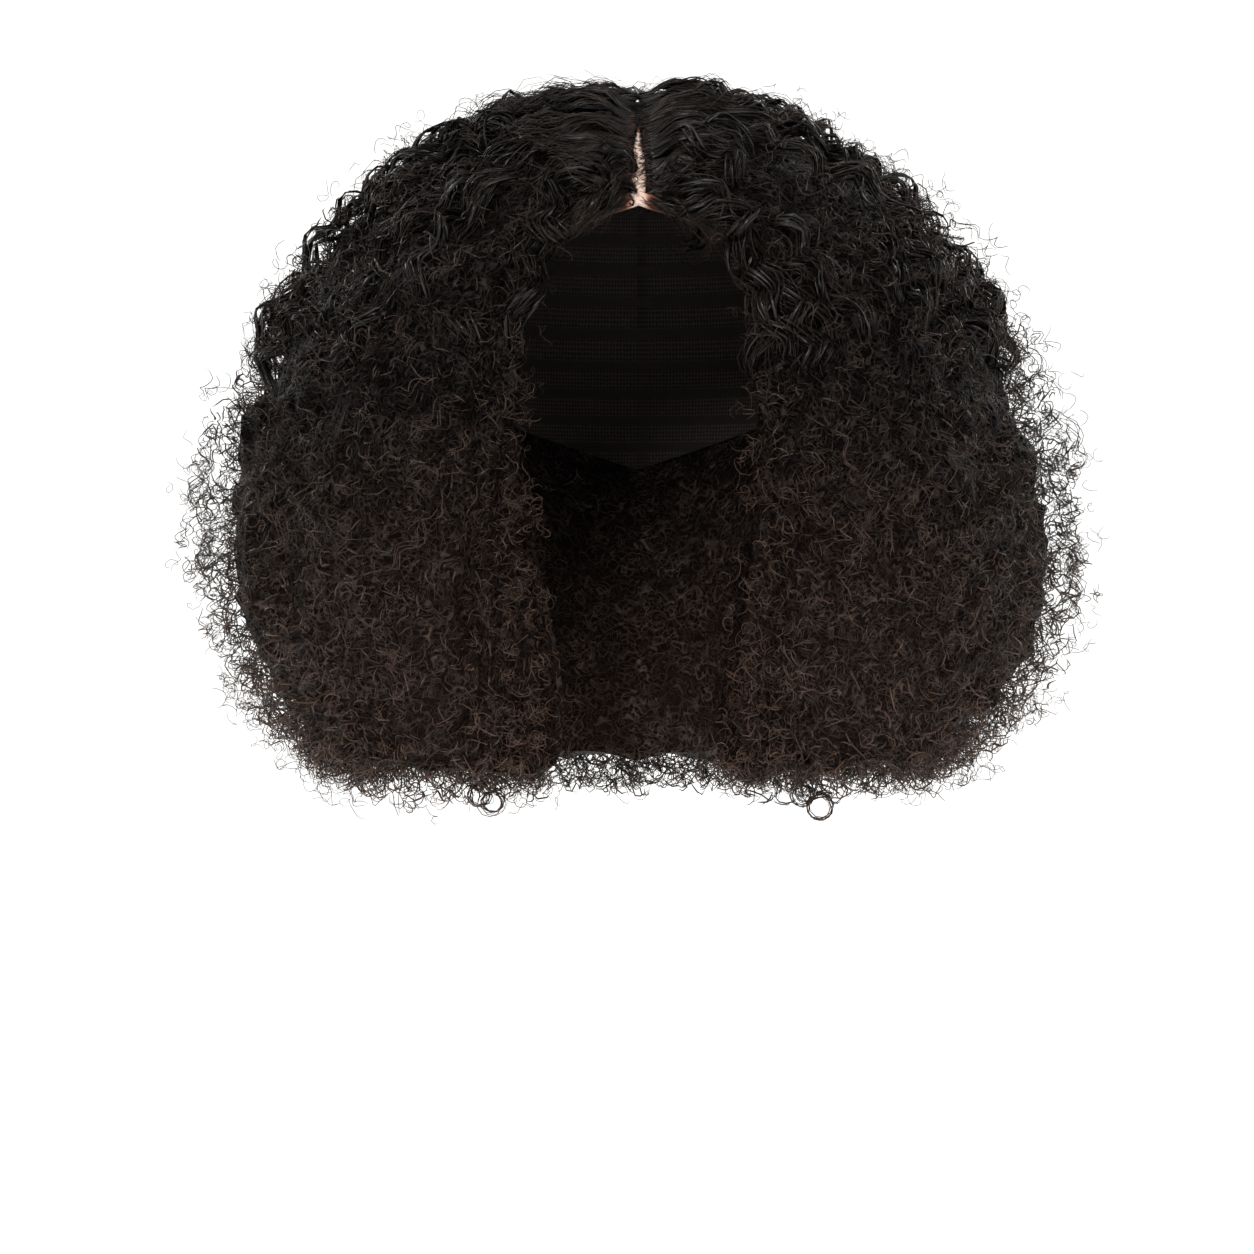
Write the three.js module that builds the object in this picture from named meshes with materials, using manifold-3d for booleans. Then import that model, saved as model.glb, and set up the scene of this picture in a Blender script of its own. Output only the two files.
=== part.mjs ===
// Short curly wig with a centre parting, in the form it has when it is worn.
// An open-faced net cap carries a T-shaped lace parting at its front and a bell of curly hair
// that falls from the parting to the shoulders in three masses: left, right and back.
// Millimetres, +Z up. The face opening looks along -Y and left is -X, as a viewer in front sees it.
// The origin is the inside of the cap's crown, where the cap rests when it is worn.
import * as THREE from "three";
import { mergeVertices } from "three/addons/utils/BufferGeometryUtils.js";
import Module from "manifold-3d";

const wasm = await Module();
wasm.setup();

// Hollow of the cap: a dome of average size, about 542 mm round.
const HOLLOW_HALF_WIDTH = 76;
const HOLLOW_FRONT = 95;
const HOLLOW_BACK = 97;
const DOME_HEIGHT = 105;
// Hollow below the dome, narrowing to the neck: the space that the hair hangs round.
const LOWER_SECTIONS = [
  { drop: DOME_HEIGHT, halfWidth: HOLLOW_HALF_WIDTH, front: HOLLOW_FRONT, back: HOLLOW_BACK },
  { drop: 135, halfWidth: 74, front: 93, back: 90 },
  { drop: 165, halfWidth: 68, front: 89, back: 77 },
  { drop: 200, halfWidth: 59, front: 74, back: 64 },
  { drop: 235, halfWidth: 54, front: 54, back: 61 },
  { drop: 330, halfWidth: 56, front: 50, back: 64 },
];

// Cap: a thin stretch net whose rim runs from the hairline over the ears to the nape.
const CAP_WALL = 1.5;
const CAP_RIM = [
  { azimuth: 0, drop: 42 },
  { azimuth: 30, drop: 58 },
  { azimuth: 55, drop: 86 },
  { azimuth: 80, drop: 114 },
  { azimuth: 110, drop: 124 },
  { azimuth: 145, drop: 136 },
  { azimuth: 180, drop: 150 },
];
const FIT_GAP = 0.4;
// Hair to cap, wide enough for the facets of both.
const SEAT_GAP = 0.6;

// Lace parting: a strip along the parting and a band along the front hairline, let into the cap.
const PARTING_HALF_WIDTH = 11;
const PARTING_END_Y = -8;
const HAIRLINE_BAND = 14;
const HAIRLINE_BAND_AZIMUTH = 52;
// How far the lace's footprint reaches past the two faces of the cap.
const FOOTPRINT_INSIDE = 4.5;
const FOOTPRINT_OUTSIDE = 6;

// Groove that the combed-apart hair leaves over the lace.
const GROOVE_FLOOR_HALF_WIDTH = 2.4;
const GROOVE_MOUTH_HALF_WIDTH = 5.5;
const GROOVE_END_Y = -24;

// Hair: one row for each station round the wig, from the hidden middle of the face opening to the
// middle of the back. Each station has a fall line that starts at topY on the parting, swings out
// to its widest point and turns in again to the hem.
const HAIR_STATIONS = [
  { at: "throat", topY: -79, wideX: 16, wideY: -12, wideZ: -150, hemX: 16, hemY: 0, hemZ: -284 },
  { at: "cheek", topY: -79, wideX: 46, wideY: -48, wideZ: -150, hemX: 38, hemY: -16, hemZ: -284 },
  { at: "face edge", topY: -79, wideX: 57, wideY: -84, wideZ: -150, hemX: 51, hemY: -52, hemZ: -285 },
  { at: "front", topY: -75, wideX: 94, wideY: -95, wideZ: -176, hemX: 82, hemY: -68, hemZ: -286 },
  { at: "front corner", topY: -60, wideX: 148, wideY: -62, wideZ: -186, hemX: 116, hemY: -44, hemZ: -285 },
  { at: "side", topY: -28, wideX: 183, wideY: 26, wideZ: -188, hemX: 128, hemY: 22, hemZ: -284 },
  { at: "back corner", topY: 2, wideX: 130, wideY: 126, wideZ: -188, hemX: 96, hemY: 100, hemZ: -285 },
  { at: "back", topY: 12, wideX: 0, wideY: 166, wideZ: -184, hemX: 0, hemY: 128, hemZ: -286 },
];
const HAIRLINE_LIFT = 4;
const CROWN_LIFT = 6.5;
// Fullness beside the parting: the hair rises before it falls, over this share of the fall line.
const PARTING_SWELL = 5;
const PARTING_SWELL_END = 0.4;
const WIDEST_AT = 0.62;
const BACK_SPLIT_Y = 24;

// Locks: rows of curls round the wig, each fused to the hair behind it. first and last are places
// on the fall line, from 0 at the parting to 1 at the hem.
const LOCK_ROWS = [
  { row: "crown", count: 14, first: 0.09, last: 0.44, radius: 13, flick: 1 },
  { row: "temple", count: 16, first: 0.33, last: 0.67, radius: 18, flick: 2 },
  { row: "shoulder", count: 17, first: 0.56, last: 0.86, radius: 20, flick: 3 },
  { row: "hem", count: 17, first: 0.78, last: 1.03, radius: 18.5, flick: 2 },
];
const LOCK_FLATNESS = 0.72;
const LOCK_SWAY = 0.013;
const LOCK_PHASE_STEP = 0.35;
const LOCK_SINK = 0.03;
const LOCK_TAPER = 0.25;
const LOCK_SIDES = 5;
const LOCK_STEPS = 5;

// Mesh fineness.
const CAP_SLICES = 32;
const CAP_STACKS = 10;
const LOWER_STACKS = 8;
const HAIR_SLICES = 45;
const HAIR_STACKS = 12;

// Share of the wall's steps that lie on the dome, where the wall reaches below it.
const DOME_STEPS = 0.75;
// Step along the fall line that gives its direction.
const FALL_STEP = 0.02;
const RING_TENSION = 0.5;
const MERGE_TOLERANCE = 1e-3;

const GOLDEN_ANGLE = Math.PI * (3 - Math.sqrt(5));
const FAR = 400;

// Smooth curve through one column of a table, read at any value of the key column.
function tableCurve(rows, key, column) {
  const places = rows.map((row) => row[key]);
  const values = rows.map((row) => row[column]);
  const curve = new THREE.CubicInterpolant(places, values, 1);
  return (at) => curve.evaluate(at)[0];
}

const lowerWidth = tableCurve(LOWER_SECTIONS, "drop", "halfWidth");
const lowerFront = tableCurve(LOWER_SECTIONS, "drop", "front");
const lowerBack = tableCurve(LOWER_SECTIONS, "drop", "back");
const rimDrop = tableCurve(CAP_RIM, "azimuth", "drop");

// Share of the dome's full radius at a drop below the crown: a quarter ellipse.
function domeShare(drop) {
  return Math.sqrt(1 - (1 - Math.min(drop, DOME_HEIGHT) / DOME_HEIGHT) ** 2);
}

// Point on the hollow's wall grown outwards by grow, at an azimuth from the front in degrees.
function hollowPoint(azimuth, drop, grow) {
  const below = Math.max(drop, DOME_HEIGHT);
  const share = domeShare(drop);
  const angle = THREE.MathUtils.degToRad(azimuth);
  const reach = Math.abs(azimuth) <= 90 ? lowerFront(below) : lowerBack(below);
  const lift = drop < DOME_HEIGHT ? grow * (1 - drop / DOME_HEIGHT) : 0;
  return new THREE.Vector3(
    (lowerWidth(below) + grow) * share * Math.sin(angle),
    -(reach + grow) * share * Math.cos(angle),
    lift - drop,
  );
}

// Drop at a step from the crown to a lower edge, spaced evenly by angle over the dome.
function stepDrop(share, lowest) {
  const lowestAngle = Math.acos(1 - Math.min(lowest, DOME_HEIGHT) / DOME_HEIGHT);
  const domeSteps = lowest > DOME_HEIGHT ? DOME_STEPS : 1;
  if (share <= domeSteps) {
    return DOME_HEIGHT * (1 - Math.cos((share / domeSteps) * lowestAngle));
  }
  const past = (share - domeSteps) / (1 - domeSteps);
  return DOME_HEIGHT + past * (lowest - DOME_HEIGHT);
}

// Closed surface over a stack of rings with equal numbers of points. Rings that shrink to a point
// or to a doubled line close by themselves, and cap "end" fills the last ring.
function skin(rings, { cap = "none" } = {}) {
  const count = rings[0].length;
  const positions = rings.flat().flatMap((point) => [point.x, point.y, point.z]);
  const index = [];
  for (let row = 0; row + 1 < rings.length; row++) {
    for (let i = 0; i < count; i++) {
      const next = (i + 1) % count;
      const [a, b] = [row * count + i, row * count + next];
      const [c, d] = [a + count, b + count];
      index.push(a, b, d, a, d, c);
    }
  }
  if (cap === "end") {
    const last = (rings.length - 1) * count;
    const outline = rings.at(-1).map((point) => new THREE.Vector2(point.x, point.y));
    const way = Math.sign(THREE.ShapeUtils.area(outline));
    THREE.ShapeUtils.triangulateShape(outline, []).forEach(([a, b, c]) => {
      const sameWay = Math.sign(THREE.ShapeUtils.area([outline[a], outline[b], outline[c]])) === way;
      index.push(last + a, last + (sameWay ? b : c), last + (sameWay ? c : b));
    });
  }
  const geometry = new THREE.BufferGeometry();
  geometry.setAttribute("position", new THREE.Float32BufferAttribute(positions, 3));
  return geometry.setIndex(index);
}

// Manifold solid of a closed geometry, whichever way its faces were wound.
function solid(geometry) {
  const bare = geometry.clone();
  bare.deleteAttribute("normal");
  bare.deleteAttribute("uv");
  const merged = mergeVertices(bare, MERGE_TOLERANCE);
  const faces = [];
  const corners = merged.index.array;
  for (let i = 0; i < corners.length; i += 3) {
    const [a, b, c] = corners.slice(i, i + 3);
    if (a !== b && b !== c && c !== a) faces.push([a, b, c]);
  }
  const make = (list) =>
    new wasm.Manifold(
      new wasm.Mesh({
        numProp: 3,
        vertProperties: new Float32Array(merged.attributes.position.array),
        triVerts: new Uint32Array(list.flat()),
      }),
    );
  const made = make(faces);
  return made.volume() >= 0 ? made : make(faces.map(([a, b, c]) => [a, c, b]));
}

// Outer skin of a solid's largest body: pockets shut in between locks are filled.
function mainBody(shape) {
  return shape.decompose().reduce((best, body) => (body.volume() > best.volume() ? body : best));
}

// Named mesh of a manifold solid.
function piece(name, shape, material) {
  const mesh = shape.getMesh();
  const geometry = new THREE.BufferGeometry();
  geometry.setAttribute("position", new THREE.BufferAttribute(mesh.vertProperties, 3));
  geometry.setIndex(new THREE.BufferAttribute(mesh.triVerts, 1));
  geometry.computeVertexNormals();
  const made = new THREE.Mesh(geometry, material);
  made.name = name;
  return made;
}

// Block between two corners, for cutting.
function block(low, high) {
  const size = high.clone().sub(low);
  const centre = low.clone().add(high).multiplyScalar(0.5);
  return solid(new THREE.BoxGeometry(size.x, size.y, size.z).translate(centre.x, centre.y, centre.z));
}

// Azimuths of a full turn, from the front round to the front.
function turnAzimuths(slices) {
  return Array.from({ length: slices }, (_, i) => (i / slices) * 360 - 180);
}

// Cap shell: down the inner wall from the crown to the rim and back up the outer wall.
function capShell() {
  const azimuths = turnAzimuths(CAP_SLICES);
  const walls = [
    { grow: 0, shares: Array.from({ length: CAP_STACKS + 1 }, (_, i) => i / CAP_STACKS) },
    { grow: CAP_WALL, shares: Array.from({ length: CAP_STACKS + 1 }, (_, i) => 1 - i / CAP_STACKS) },
  ];
  const rings = walls.flatMap(({ grow, shares }) =>
    shares.map((share) =>
      azimuths.map((azimuth) => hollowPoint(azimuth, stepDrop(share, rimDrop(Math.abs(azimuth))), grow)),
    ),
  );
  return solid(skin(rings));
}

// Footprint of the lace, grown by a gap: the parting strip and the band behind the front hairline.
function laceFootprint(gap) {
  const strip = block(
    new THREE.Vector3(-PARTING_HALF_WIDTH - gap, -FAR, -DOME_HEIGHT),
    new THREE.Vector3(PARTING_HALF_WIDTH + gap, PARTING_END_Y + gap, FAR),
  );
  const reach = HAIRLINE_BAND_AZIMUTH + gap;
  const azimuths = Array.from({ length: CAP_SLICES / 2 + 1 }, (_, i) => reach * ((4 * i) / CAP_SLICES - 1));
  const edge = (grow, back) =>
    azimuths.map((azimuth) => hollowPoint(azimuth, rimDrop(Math.abs(azimuth)) - back, grow));
  const rows = [
    edge(-FOOTPRINT_INSIDE, -HAIRLINE_BAND),
    edge(-FOOTPRINT_INSIDE, HAIRLINE_BAND + gap),
    edge(FOOTPRINT_OUTSIDE, HAIRLINE_BAND + gap),
    edge(FOOTPRINT_OUTSIDE, -HAIRLINE_BAND),
  ];
  const rings = azimuths.map((_, i) => rows.map((row) => row[i]));
  const centre = (ring) => ring.map(() => ring[0].clone().add(ring[2]).multiplyScalar(0.5));
  return strip.add(solid(skin([centre(rings[0]), ...rings, centre(rings.at(-1))])));
}

// Space inside the hair, with room for the cap and the gap round it.
function hollowSpace() {
  const azimuths = turnAzimuths(CAP_SLICES);
  const lowest = LOWER_SECTIONS.at(-1).drop;
  const grow = CAP_WALL + SEAT_GAP;
  const dome = Array.from({ length: CAP_STACKS }, (_, i) => stepDrop(i / CAP_STACKS, DOME_HEIGHT));
  const below = Array.from(
    { length: LOWER_STACKS + 1 },
    (_, i) => DOME_HEIGHT + (i / LOWER_STACKS) * (lowest - DOME_HEIGHT),
  );
  const ringAt = (drop) => azimuths.map((azimuth) => hollowPoint(azimuth, drop, grow));
  return solid(skin([...dome, ...below].map(ringAt), { cap: "end" }));
}

// Height of the hair on the parting, above the cap at that place.
function partingHeight(y) {
  const reach = y < 0 ? HOLLOW_FRONT : HOLLOW_BACK;
  const crown = THREE.MathUtils.smoothstep(y, -HOLLOW_FRONT, 0);
  const capHeight = -DOME_HEIGHT * (1 - Math.sqrt(1 - (y / reach) ** 2));
  return capHeight + CAP_WALL + THREE.MathUtils.lerp(HAIRLINE_LIFT, CROWN_LIFT, crown);
}

// Point of one station's fall line. Down to the widest place it is a quarter ellipse that leaves the
// parting level, and from there a second quarter ellipse turns it in to the hem.
function fallPoint(station, side, share) {
  const top = new THREE.Vector3(0, station.topY, partingHeight(station.topY));
  const wide = new THREE.Vector3(side * station.wideX, station.wideY, station.wideZ);
  const hem = new THREE.Vector3(side * station.hemX, station.hemY, station.hemZ);
  if (share <= WIDEST_AT) {
    const angle = (share / WIDEST_AT) * (Math.PI / 2);
    const flat = top.clone().lerp(wide, Math.sin(angle));
    const swell = PARTING_SWELL * Math.sin(Math.PI * Math.min(share / PARTING_SWELL_END, 1));
    return flat.setZ(THREE.MathUtils.lerp(wide.z, top.z, Math.cos(angle)) + swell);
  }
  const angle = ((share - WIDEST_AT) / (1 - WIDEST_AT)) * (Math.PI / 2);
  const flat = wide.clone().lerp(hem, 1 - Math.cos(angle));
  return flat.setZ(THREE.MathUtils.lerp(wide.z, hem.z, Math.sin(angle)));
}

// Closed curve round the hair at one share of the fall: right side, back, then left side.
function hairRing(share) {
  const right = HAIR_STATIONS.map((station) => fallPoint(station, 1, share));
  const left = HAIR_STATIONS.slice(0, -1).map((station) => fallPoint(station, -1, share));
  return new THREE.CatmullRomCurve3([...right, ...left.reverse()], true, "catmullrom", RING_TENSION);
}

const RING_STATIONS = 2 * HAIR_STATIONS.length - 1;
const RING_DIVISIONS = 20;
const FACE_EDGE = HAIR_STATIONS.findIndex((station) => station.at === "face edge");

// Hair behind the locks, before the hollow is taken out of it.
function hairBody() {
  const rings = Array.from({ length: HAIR_STACKS + 1 }, (_, row) => {
    const ring = hairRing(row / HAIR_STACKS);
    return Array.from({ length: HAIR_SLICES }, (_, i) => ring.getPoint(i / HAIR_SLICES));
  });
  return solid(skin(rings, { cap: "end" }));
}

// One lock: a flat tapered curl that sways along the fall line, thickest in its middle, with its tip
// flicked clear of the hair behind it.
function lock(row, place, phase) {
  const rings = Array.from({ length: LOCK_STEPS + 1 }, (_, step) => {
    const along = step / LOCK_STEPS;
    const share = THREE.MathUtils.lerp(row.first, row.last, along);
    const swayed = place + LOCK_SWAY * Math.sin(2 * Math.PI * along + phase);
    const ring = hairRing(Math.min(share, 1));
    const centre = ring.getPoint(swayed);
    const across = ring.getTangent(swayed);
    const down = hairRing(Math.min(share + FALL_STEP, 1)).getPoint(swayed);
    down.sub(hairRing(Math.min(share, 1) - FALL_STEP).getPoint(swayed)).normalize();
    const out = new THREE.Vector3().crossVectors(down, across).normalize();
    const radius = row.radius * Math.sqrt(Math.sin(Math.PI * along)) * (1 - LOCK_TAPER * along);
    const sink = row.radius * LOCK_SINK - row.flick * along ** 2;
    centre.addScaledVector(out, -sink);
    centre.addScaledVector(down, Math.max(share - 1, 0) * DOME_HEIGHT);
    return Array.from({ length: LOCK_SIDES }, (_, i) => {
      const turn = (i / LOCK_SIDES) * 2 * Math.PI;
      return centre
        .clone()
        .addScaledVector(across, radius * Math.cos(turn))
        .addScaledVector(out, radius * LOCK_FLATNESS * Math.sin(turn));
    });
  });
  return solid(skin(rings));
}

// All the hair in one solid: the body with every row of locks fused to it, spaced evenly by length
// along the widest ring from one face edge round the back to the other.
function hairWithLocks() {
  const widest = hairRing(WIDEST_AT);
  const lengths = widest.getLengths(RING_STATIONS * RING_DIVISIONS);
  const from = lengths[FACE_EDGE * RING_DIVISIONS] / lengths.at(-1);
  const to = lengths[(RING_STATIONS - 1 - FACE_EDGE) * RING_DIVISIONS] / lengths.at(-1);
  const locks = LOCK_ROWS.flatMap((row, tier) =>
    Array.from({ length: row.count }, (_, i) => {
      const along = THREE.MathUtils.lerp(from, to, (i + 0.5) / row.count);
      return lock(row, widest.getUtoTmapping(along), tier * GOLDEN_ANGLE + i * LOCK_PHASE_STEP);
    }),
  );
  return locks.reduce((hair, made) => hair.add(made), hairBody());
}

// Groove over the lace, from in front of the hairline to where the hair closes behind it.
function partingGroove() {
  const outline = new THREE.Shape([
    new THREE.Vector2(-GROOVE_FLOOR_HALF_WIDTH, -DOME_HEIGHT / 2),
    new THREE.Vector2(GROOVE_FLOOR_HALF_WIDTH, -DOME_HEIGHT / 2),
    new THREE.Vector2(GROOVE_MOUTH_HALF_WIDTH, 2 * CROWN_LIFT),
    new THREE.Vector2(-GROOVE_MOUTH_HALF_WIDTH, 2 * CROWN_LIFT),
  ]);
  const length = HOLLOW_FRONT * 2 + GROOVE_END_Y;
  const groove = new THREE.ExtrudeGeometry(outline, { depth: length, bevelEnabled: false });
  return solid(groove.rotateX(Math.PI / 2).translate(0, GROOVE_END_Y, 0));
}

const netMaterial = new THREE.MeshStandardMaterial({ color: 0x191615, roughness: 0.85, metalness: 0 });
const laceMaterial = new THREE.MeshStandardMaterial({ color: 0xc99c86, roughness: 0.8, metalness: 0 });
const hairMaterial = new THREE.MeshStandardMaterial({ color: 0x241d1a, roughness: 0.5, metalness: 0 });

const shell = capShell();
const hair = hairWithLocks().subtract(hollowSpace()).subtract(partingGroove());
const half = FIT_GAP / 2;
const frontEnd = BACK_SPLIT_Y - half;
const backStart = BACK_SPLIT_Y + half;
const leftHalf = block(new THREE.Vector3(-FAR, -FAR, -FAR), new THREE.Vector3(-half, frontEnd, FAR));
const rightHalf = block(new THREE.Vector3(half, -FAR, -FAR), new THREE.Vector3(FAR, frontEnd, FAR));
const backHalf = block(new THREE.Vector3(-FAR, backStart, -FAR), new THREE.Vector3(FAR, FAR, FAR));

const wig = new THREE.Group();
wig.add(piece("wig_cap", shell.subtract(laceFootprint(FIT_GAP)), netMaterial));
wig.add(piece("lace_parting", shell.intersect(laceFootprint(0)), laceMaterial));
wig.add(piece("hair_left", mainBody(hair.intersect(leftHalf)), hairMaterial));
wig.add(piece("hair_right", mainBody(hair.intersect(rightHalf)), hairMaterial));
wig.add(piece("hair_back", mainBody(hair.intersect(backHalf)), hairMaterial));

export default wig;
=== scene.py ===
"""Looks of a short curly wig with a centre parting, in the form it has when it is worn.

Dark synthetic fibre leaves a lace parting combed smooth, breaks into waves over the temples and ends
in a deep cloud of tight curls round an open-faced net cap. The frame is the part's own: +Z up, the
face opening towards -Y, left at -X, the origin inside the cap's crown. Lengths are metres, or
millimetres where a name or a class says so.
"""

import logging
import math
from dataclasses import dataclass, replace
from enum import Enum
from typing import Any, NamedTuple

import bpy
import numpy as np
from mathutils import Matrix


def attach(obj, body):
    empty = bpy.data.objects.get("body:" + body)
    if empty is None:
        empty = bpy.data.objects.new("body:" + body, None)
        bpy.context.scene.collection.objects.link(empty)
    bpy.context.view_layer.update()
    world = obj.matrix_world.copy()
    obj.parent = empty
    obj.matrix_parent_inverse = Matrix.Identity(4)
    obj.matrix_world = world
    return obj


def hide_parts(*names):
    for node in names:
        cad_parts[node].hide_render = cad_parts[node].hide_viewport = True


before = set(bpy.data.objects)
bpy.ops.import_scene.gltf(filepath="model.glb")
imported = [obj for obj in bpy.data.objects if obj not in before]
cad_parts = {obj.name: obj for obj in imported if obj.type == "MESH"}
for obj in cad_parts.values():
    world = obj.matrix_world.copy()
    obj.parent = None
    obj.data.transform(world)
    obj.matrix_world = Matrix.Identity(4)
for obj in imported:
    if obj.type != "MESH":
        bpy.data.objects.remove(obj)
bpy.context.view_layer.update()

MM = 0.001
TURN = 2 * math.pi
TINY = 1e-9
STRAND_MAP = "strand"
LOG = logging.getLogger("wig")
NO_TRIANGLES = np.zeros((0, 3), dtype=np.int64)
TO_LEFT = np.array([-1, 1, 1])

# Factors that scramble the corner numbers of a lattice into heights
HASH_AXES = np.array([73856093, 19349663, 83492791])
HASH_LATTICE = 2654435
HASH_FACTOR = 40503
HASH_RANGE = 65521

# Sockets of a Mix node that mixes colours, and a Map Range node's rounded way
MIX_SHARE, MIX_FIRST, MIX_SECOND, MIX_COLOUR = 0, 6, 7, 2
ROUNDED = {"interpolation_type": "SMOOTHSTEP"}

# Acrylic fibre bends light a little less than glass
FIBRE_IOR = 1.5
FAIREST_TONE = 0.85

Span = tuple[float, float]
Table = tuple[float, ...]
Stops = tuple[tuple[float, str], ...]


class Mass(Enum):
    """One of the three masses that the hair falls in."""

    LEFT = "left"
    RIGHT = "right"
    BACK = "back"


class Skin(Enum):
    """The face of the hair that a curl grows on."""

    OUTER = "outside"
    INNER = "towards the hollow"
    UNDER = "underside"


class Section(Enum):
    """Cross-section of a strand, with its number of sides."""

    FIBRE = 3
    LOCK = 4


class Lattice(Enum):
    """A lattice of random heights, with its number."""

    LUMPS = 3
    SMALL_LUMPS = 4
    HEM = 5
    BUNCHES = 6


def linear(hex_colour: str) -> tuple[float, float, float, float]:
    """Gives the linear RGBA of an sRGB hex colour, by the standard's line and power curve.

    Args:
        hex_colour: six hex digits after a hash sign.

    Returns:
        Red, green, blue and an alpha of one.
    """
    shares = [int(hex_colour[i : i + 2], 16) / 255 for i in (1, 3, 5)]
    bright = [s / 12.92 if s <= 0.04045 else ((s + 0.055) / 1.055) ** 2.4 for s in shares]
    return (*bright, 1.0)


def add_node(
    tree: bpy.types.NodeTree, kind: str, fields: dict[str | int, Any] | None = None
) -> bpy.types.Node:
    """Adds a node with its settings and links.

    Args:
        tree: node tree of a material or of the world.
        kind: Blender's name for the node, without the prefix ShaderNode.
        fields: what goes into the node's own fields and, by name or number, into its inputs. A
            socket is linked, a node stands for its first output, and color_ramp takes its stops.

    Returns:
        The new node.
    """
    node = tree.nodes.new("ShaderNode" + kind)
    for key, value in (fields or {}).items():
        if isinstance(value, bpy.types.Node):
            value = value.outputs[0]
        if isinstance(value, bpy.types.NodeSocket):
            tree.links.new(value, node.inputs[key])
        elif key == "color_ramp":
            elements = node.color_ramp.elements
            for place, _ in value[1:-1]:
                elements.new(place)
            for element, (place, colour) in zip(elements, value):
                element.position = place
                element.color = linear(colour)
        elif isinstance(key, str) and hasattr(node, key):
            setattr(node, key, value)
        else:
            node.inputs[key].default_value = value
    return node


@dataclass(frozen=True)
class Finish:
    """What a surface is made of. Each kind says how its Principled shader is fed."""

    name: str = ""
    roughness: float = 0.5

    def surface(self, tree: bpy.types.NodeTree) -> dict[str, Any]:
        """Gives the shader's fields, with the nodes that feed them."""
        raise NotImplementedError

    def build(self) -> bpy.types.Material:
        """Builds the material.

        Returns:
            The material, with one Principled shader.
        """
        material = bpy.data.materials.new(self.name)
        material.use_nodes = True
        tree = material.node_tree
        tree.nodes.clear()
        shader = add_node(tree, "BsdfPrincipled", {"Roughness": self.roughness} | self.surface(tree))
        add_node(tree, "OutputMaterial", {"Surface": shader})
        return material


@dataclass(frozen=True)
class FibreFinish(Finish):
    """Modacrylic wig fibre, extruded fine and curled by heat.

    Each strand is near-black with a thin line of light along it, and browner towards its end. The
    map's U is the strand's tone and its V the way along the strand.
    """

    name: str = "modacrylic_fibre"
    tones: Stops = ((0.0, "#090808"), (0.3, "#15110f"), (0.65, "#362a24"), (1.0, "#563f33"))
    tint: str = "#e6d0c2"
    end_tone: float = 0.12
    roughness: float = 0.32
    shine: float = 0.55

    def surface(self, tree: bpy.types.NodeTree) -> dict[str, Any]:
        """Colours a strand by its tone, which rises a little towards its end.

        Args:
            tree: node tree of the material.

        Returns:
            The shader's fields.
        """
        place = add_node(tree, "UVMap", {"uv_map": STRAND_MAP})
        tone, along, _ = add_node(tree, "SeparateXYZ", {"Vector": place}).outputs
        shade = add_node(tree, "Math", {"operation": "MULTIPLY_ADD", 0: along, 1: self.end_tone, 2: tone})
        return {
            "Base Color": add_node(tree, "ValToRGB", {"Fac": shade, "color_ramp": self.tones}),
            "Specular IOR Level": self.shine,
            "Specular Tint": linear(self.tint),
            "IOR": FIBRE_IOR,
        }


@dataclass(frozen=True)
class LockFinish(Finish):
    """A flat clump of the same fibre, combed so that the strands lie side by side.

    Fine lines run along the clump, and the light breaks up on them; between them the colour is darker,
    as painted shade between fibres. The map is in metres, U across the clump and V along it, and each
    clump has its own stretch of U. Single strands are too fine to show, so the lines are drawn at the
    width given here.
    """

    name: str = "combed_modacrylic_lock"
    tones: Stops = ((0.34, "#040404"), (0.66, "#1d1714"))
    line_mm: float = 0.8
    run_mm: float = 40.0
    relief_mm: float = 0.7
    bump: float = 0.7
    gloss: Span = (0.4, 0.7)
    roughness: float = 0.36
    shine: float = 0.68

    def surface(self, tree: bpy.types.NodeTree) -> dict[str, Any]:
        """Draws the lines as noise stretched along the clump, lighter and glossier on their crests.

        The darker troughs between the lines are painted shade between fibres.

        Args:
            tree: node tree of the material.

        Returns:
            The shader's fields.
        """
        place = add_node(tree, "UVMap", {"uv_map": STRAND_MAP})
        lines = (1 / (self.line_mm * MM), 1 / (self.run_mm * MM), 1.0)
        stretched = add_node(tree, "Mapping", {"Scale": lines, "Vector": place})
        noise = {"noise_dimensions": "2D", "Scale": 1.0, "Detail": 2.0, "Roughness": 0.6}
        # The lines stand for the fibres; the ramp darkens the troughs between them as painted shade.
        fibre_lines_and_gap_shade = add_node(tree, "TexNoise", noise | {"Vector": stretched})
        dull, glossy = self.gloss
        crests = {"From Min": dull, "From Max": glossy, "To Max": self.shine, "Value": fibre_lines_and_gap_shade}
        relief = {"Strength": self.bump, "Distance": self.relief_mm * MM, "Height": fibre_lines_and_gap_shade}
        return {
            "Base Color": add_node(tree, "ValToRGB", {"Fac": fibre_lines_and_gap_shade, "color_ramp": self.tones}),
            "Normal": add_node(tree, "Bump", relief),
            "Specular IOR Level": add_node(tree, "MapRange", crests),
            "IOR": FIBRE_IOR,
        }


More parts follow.
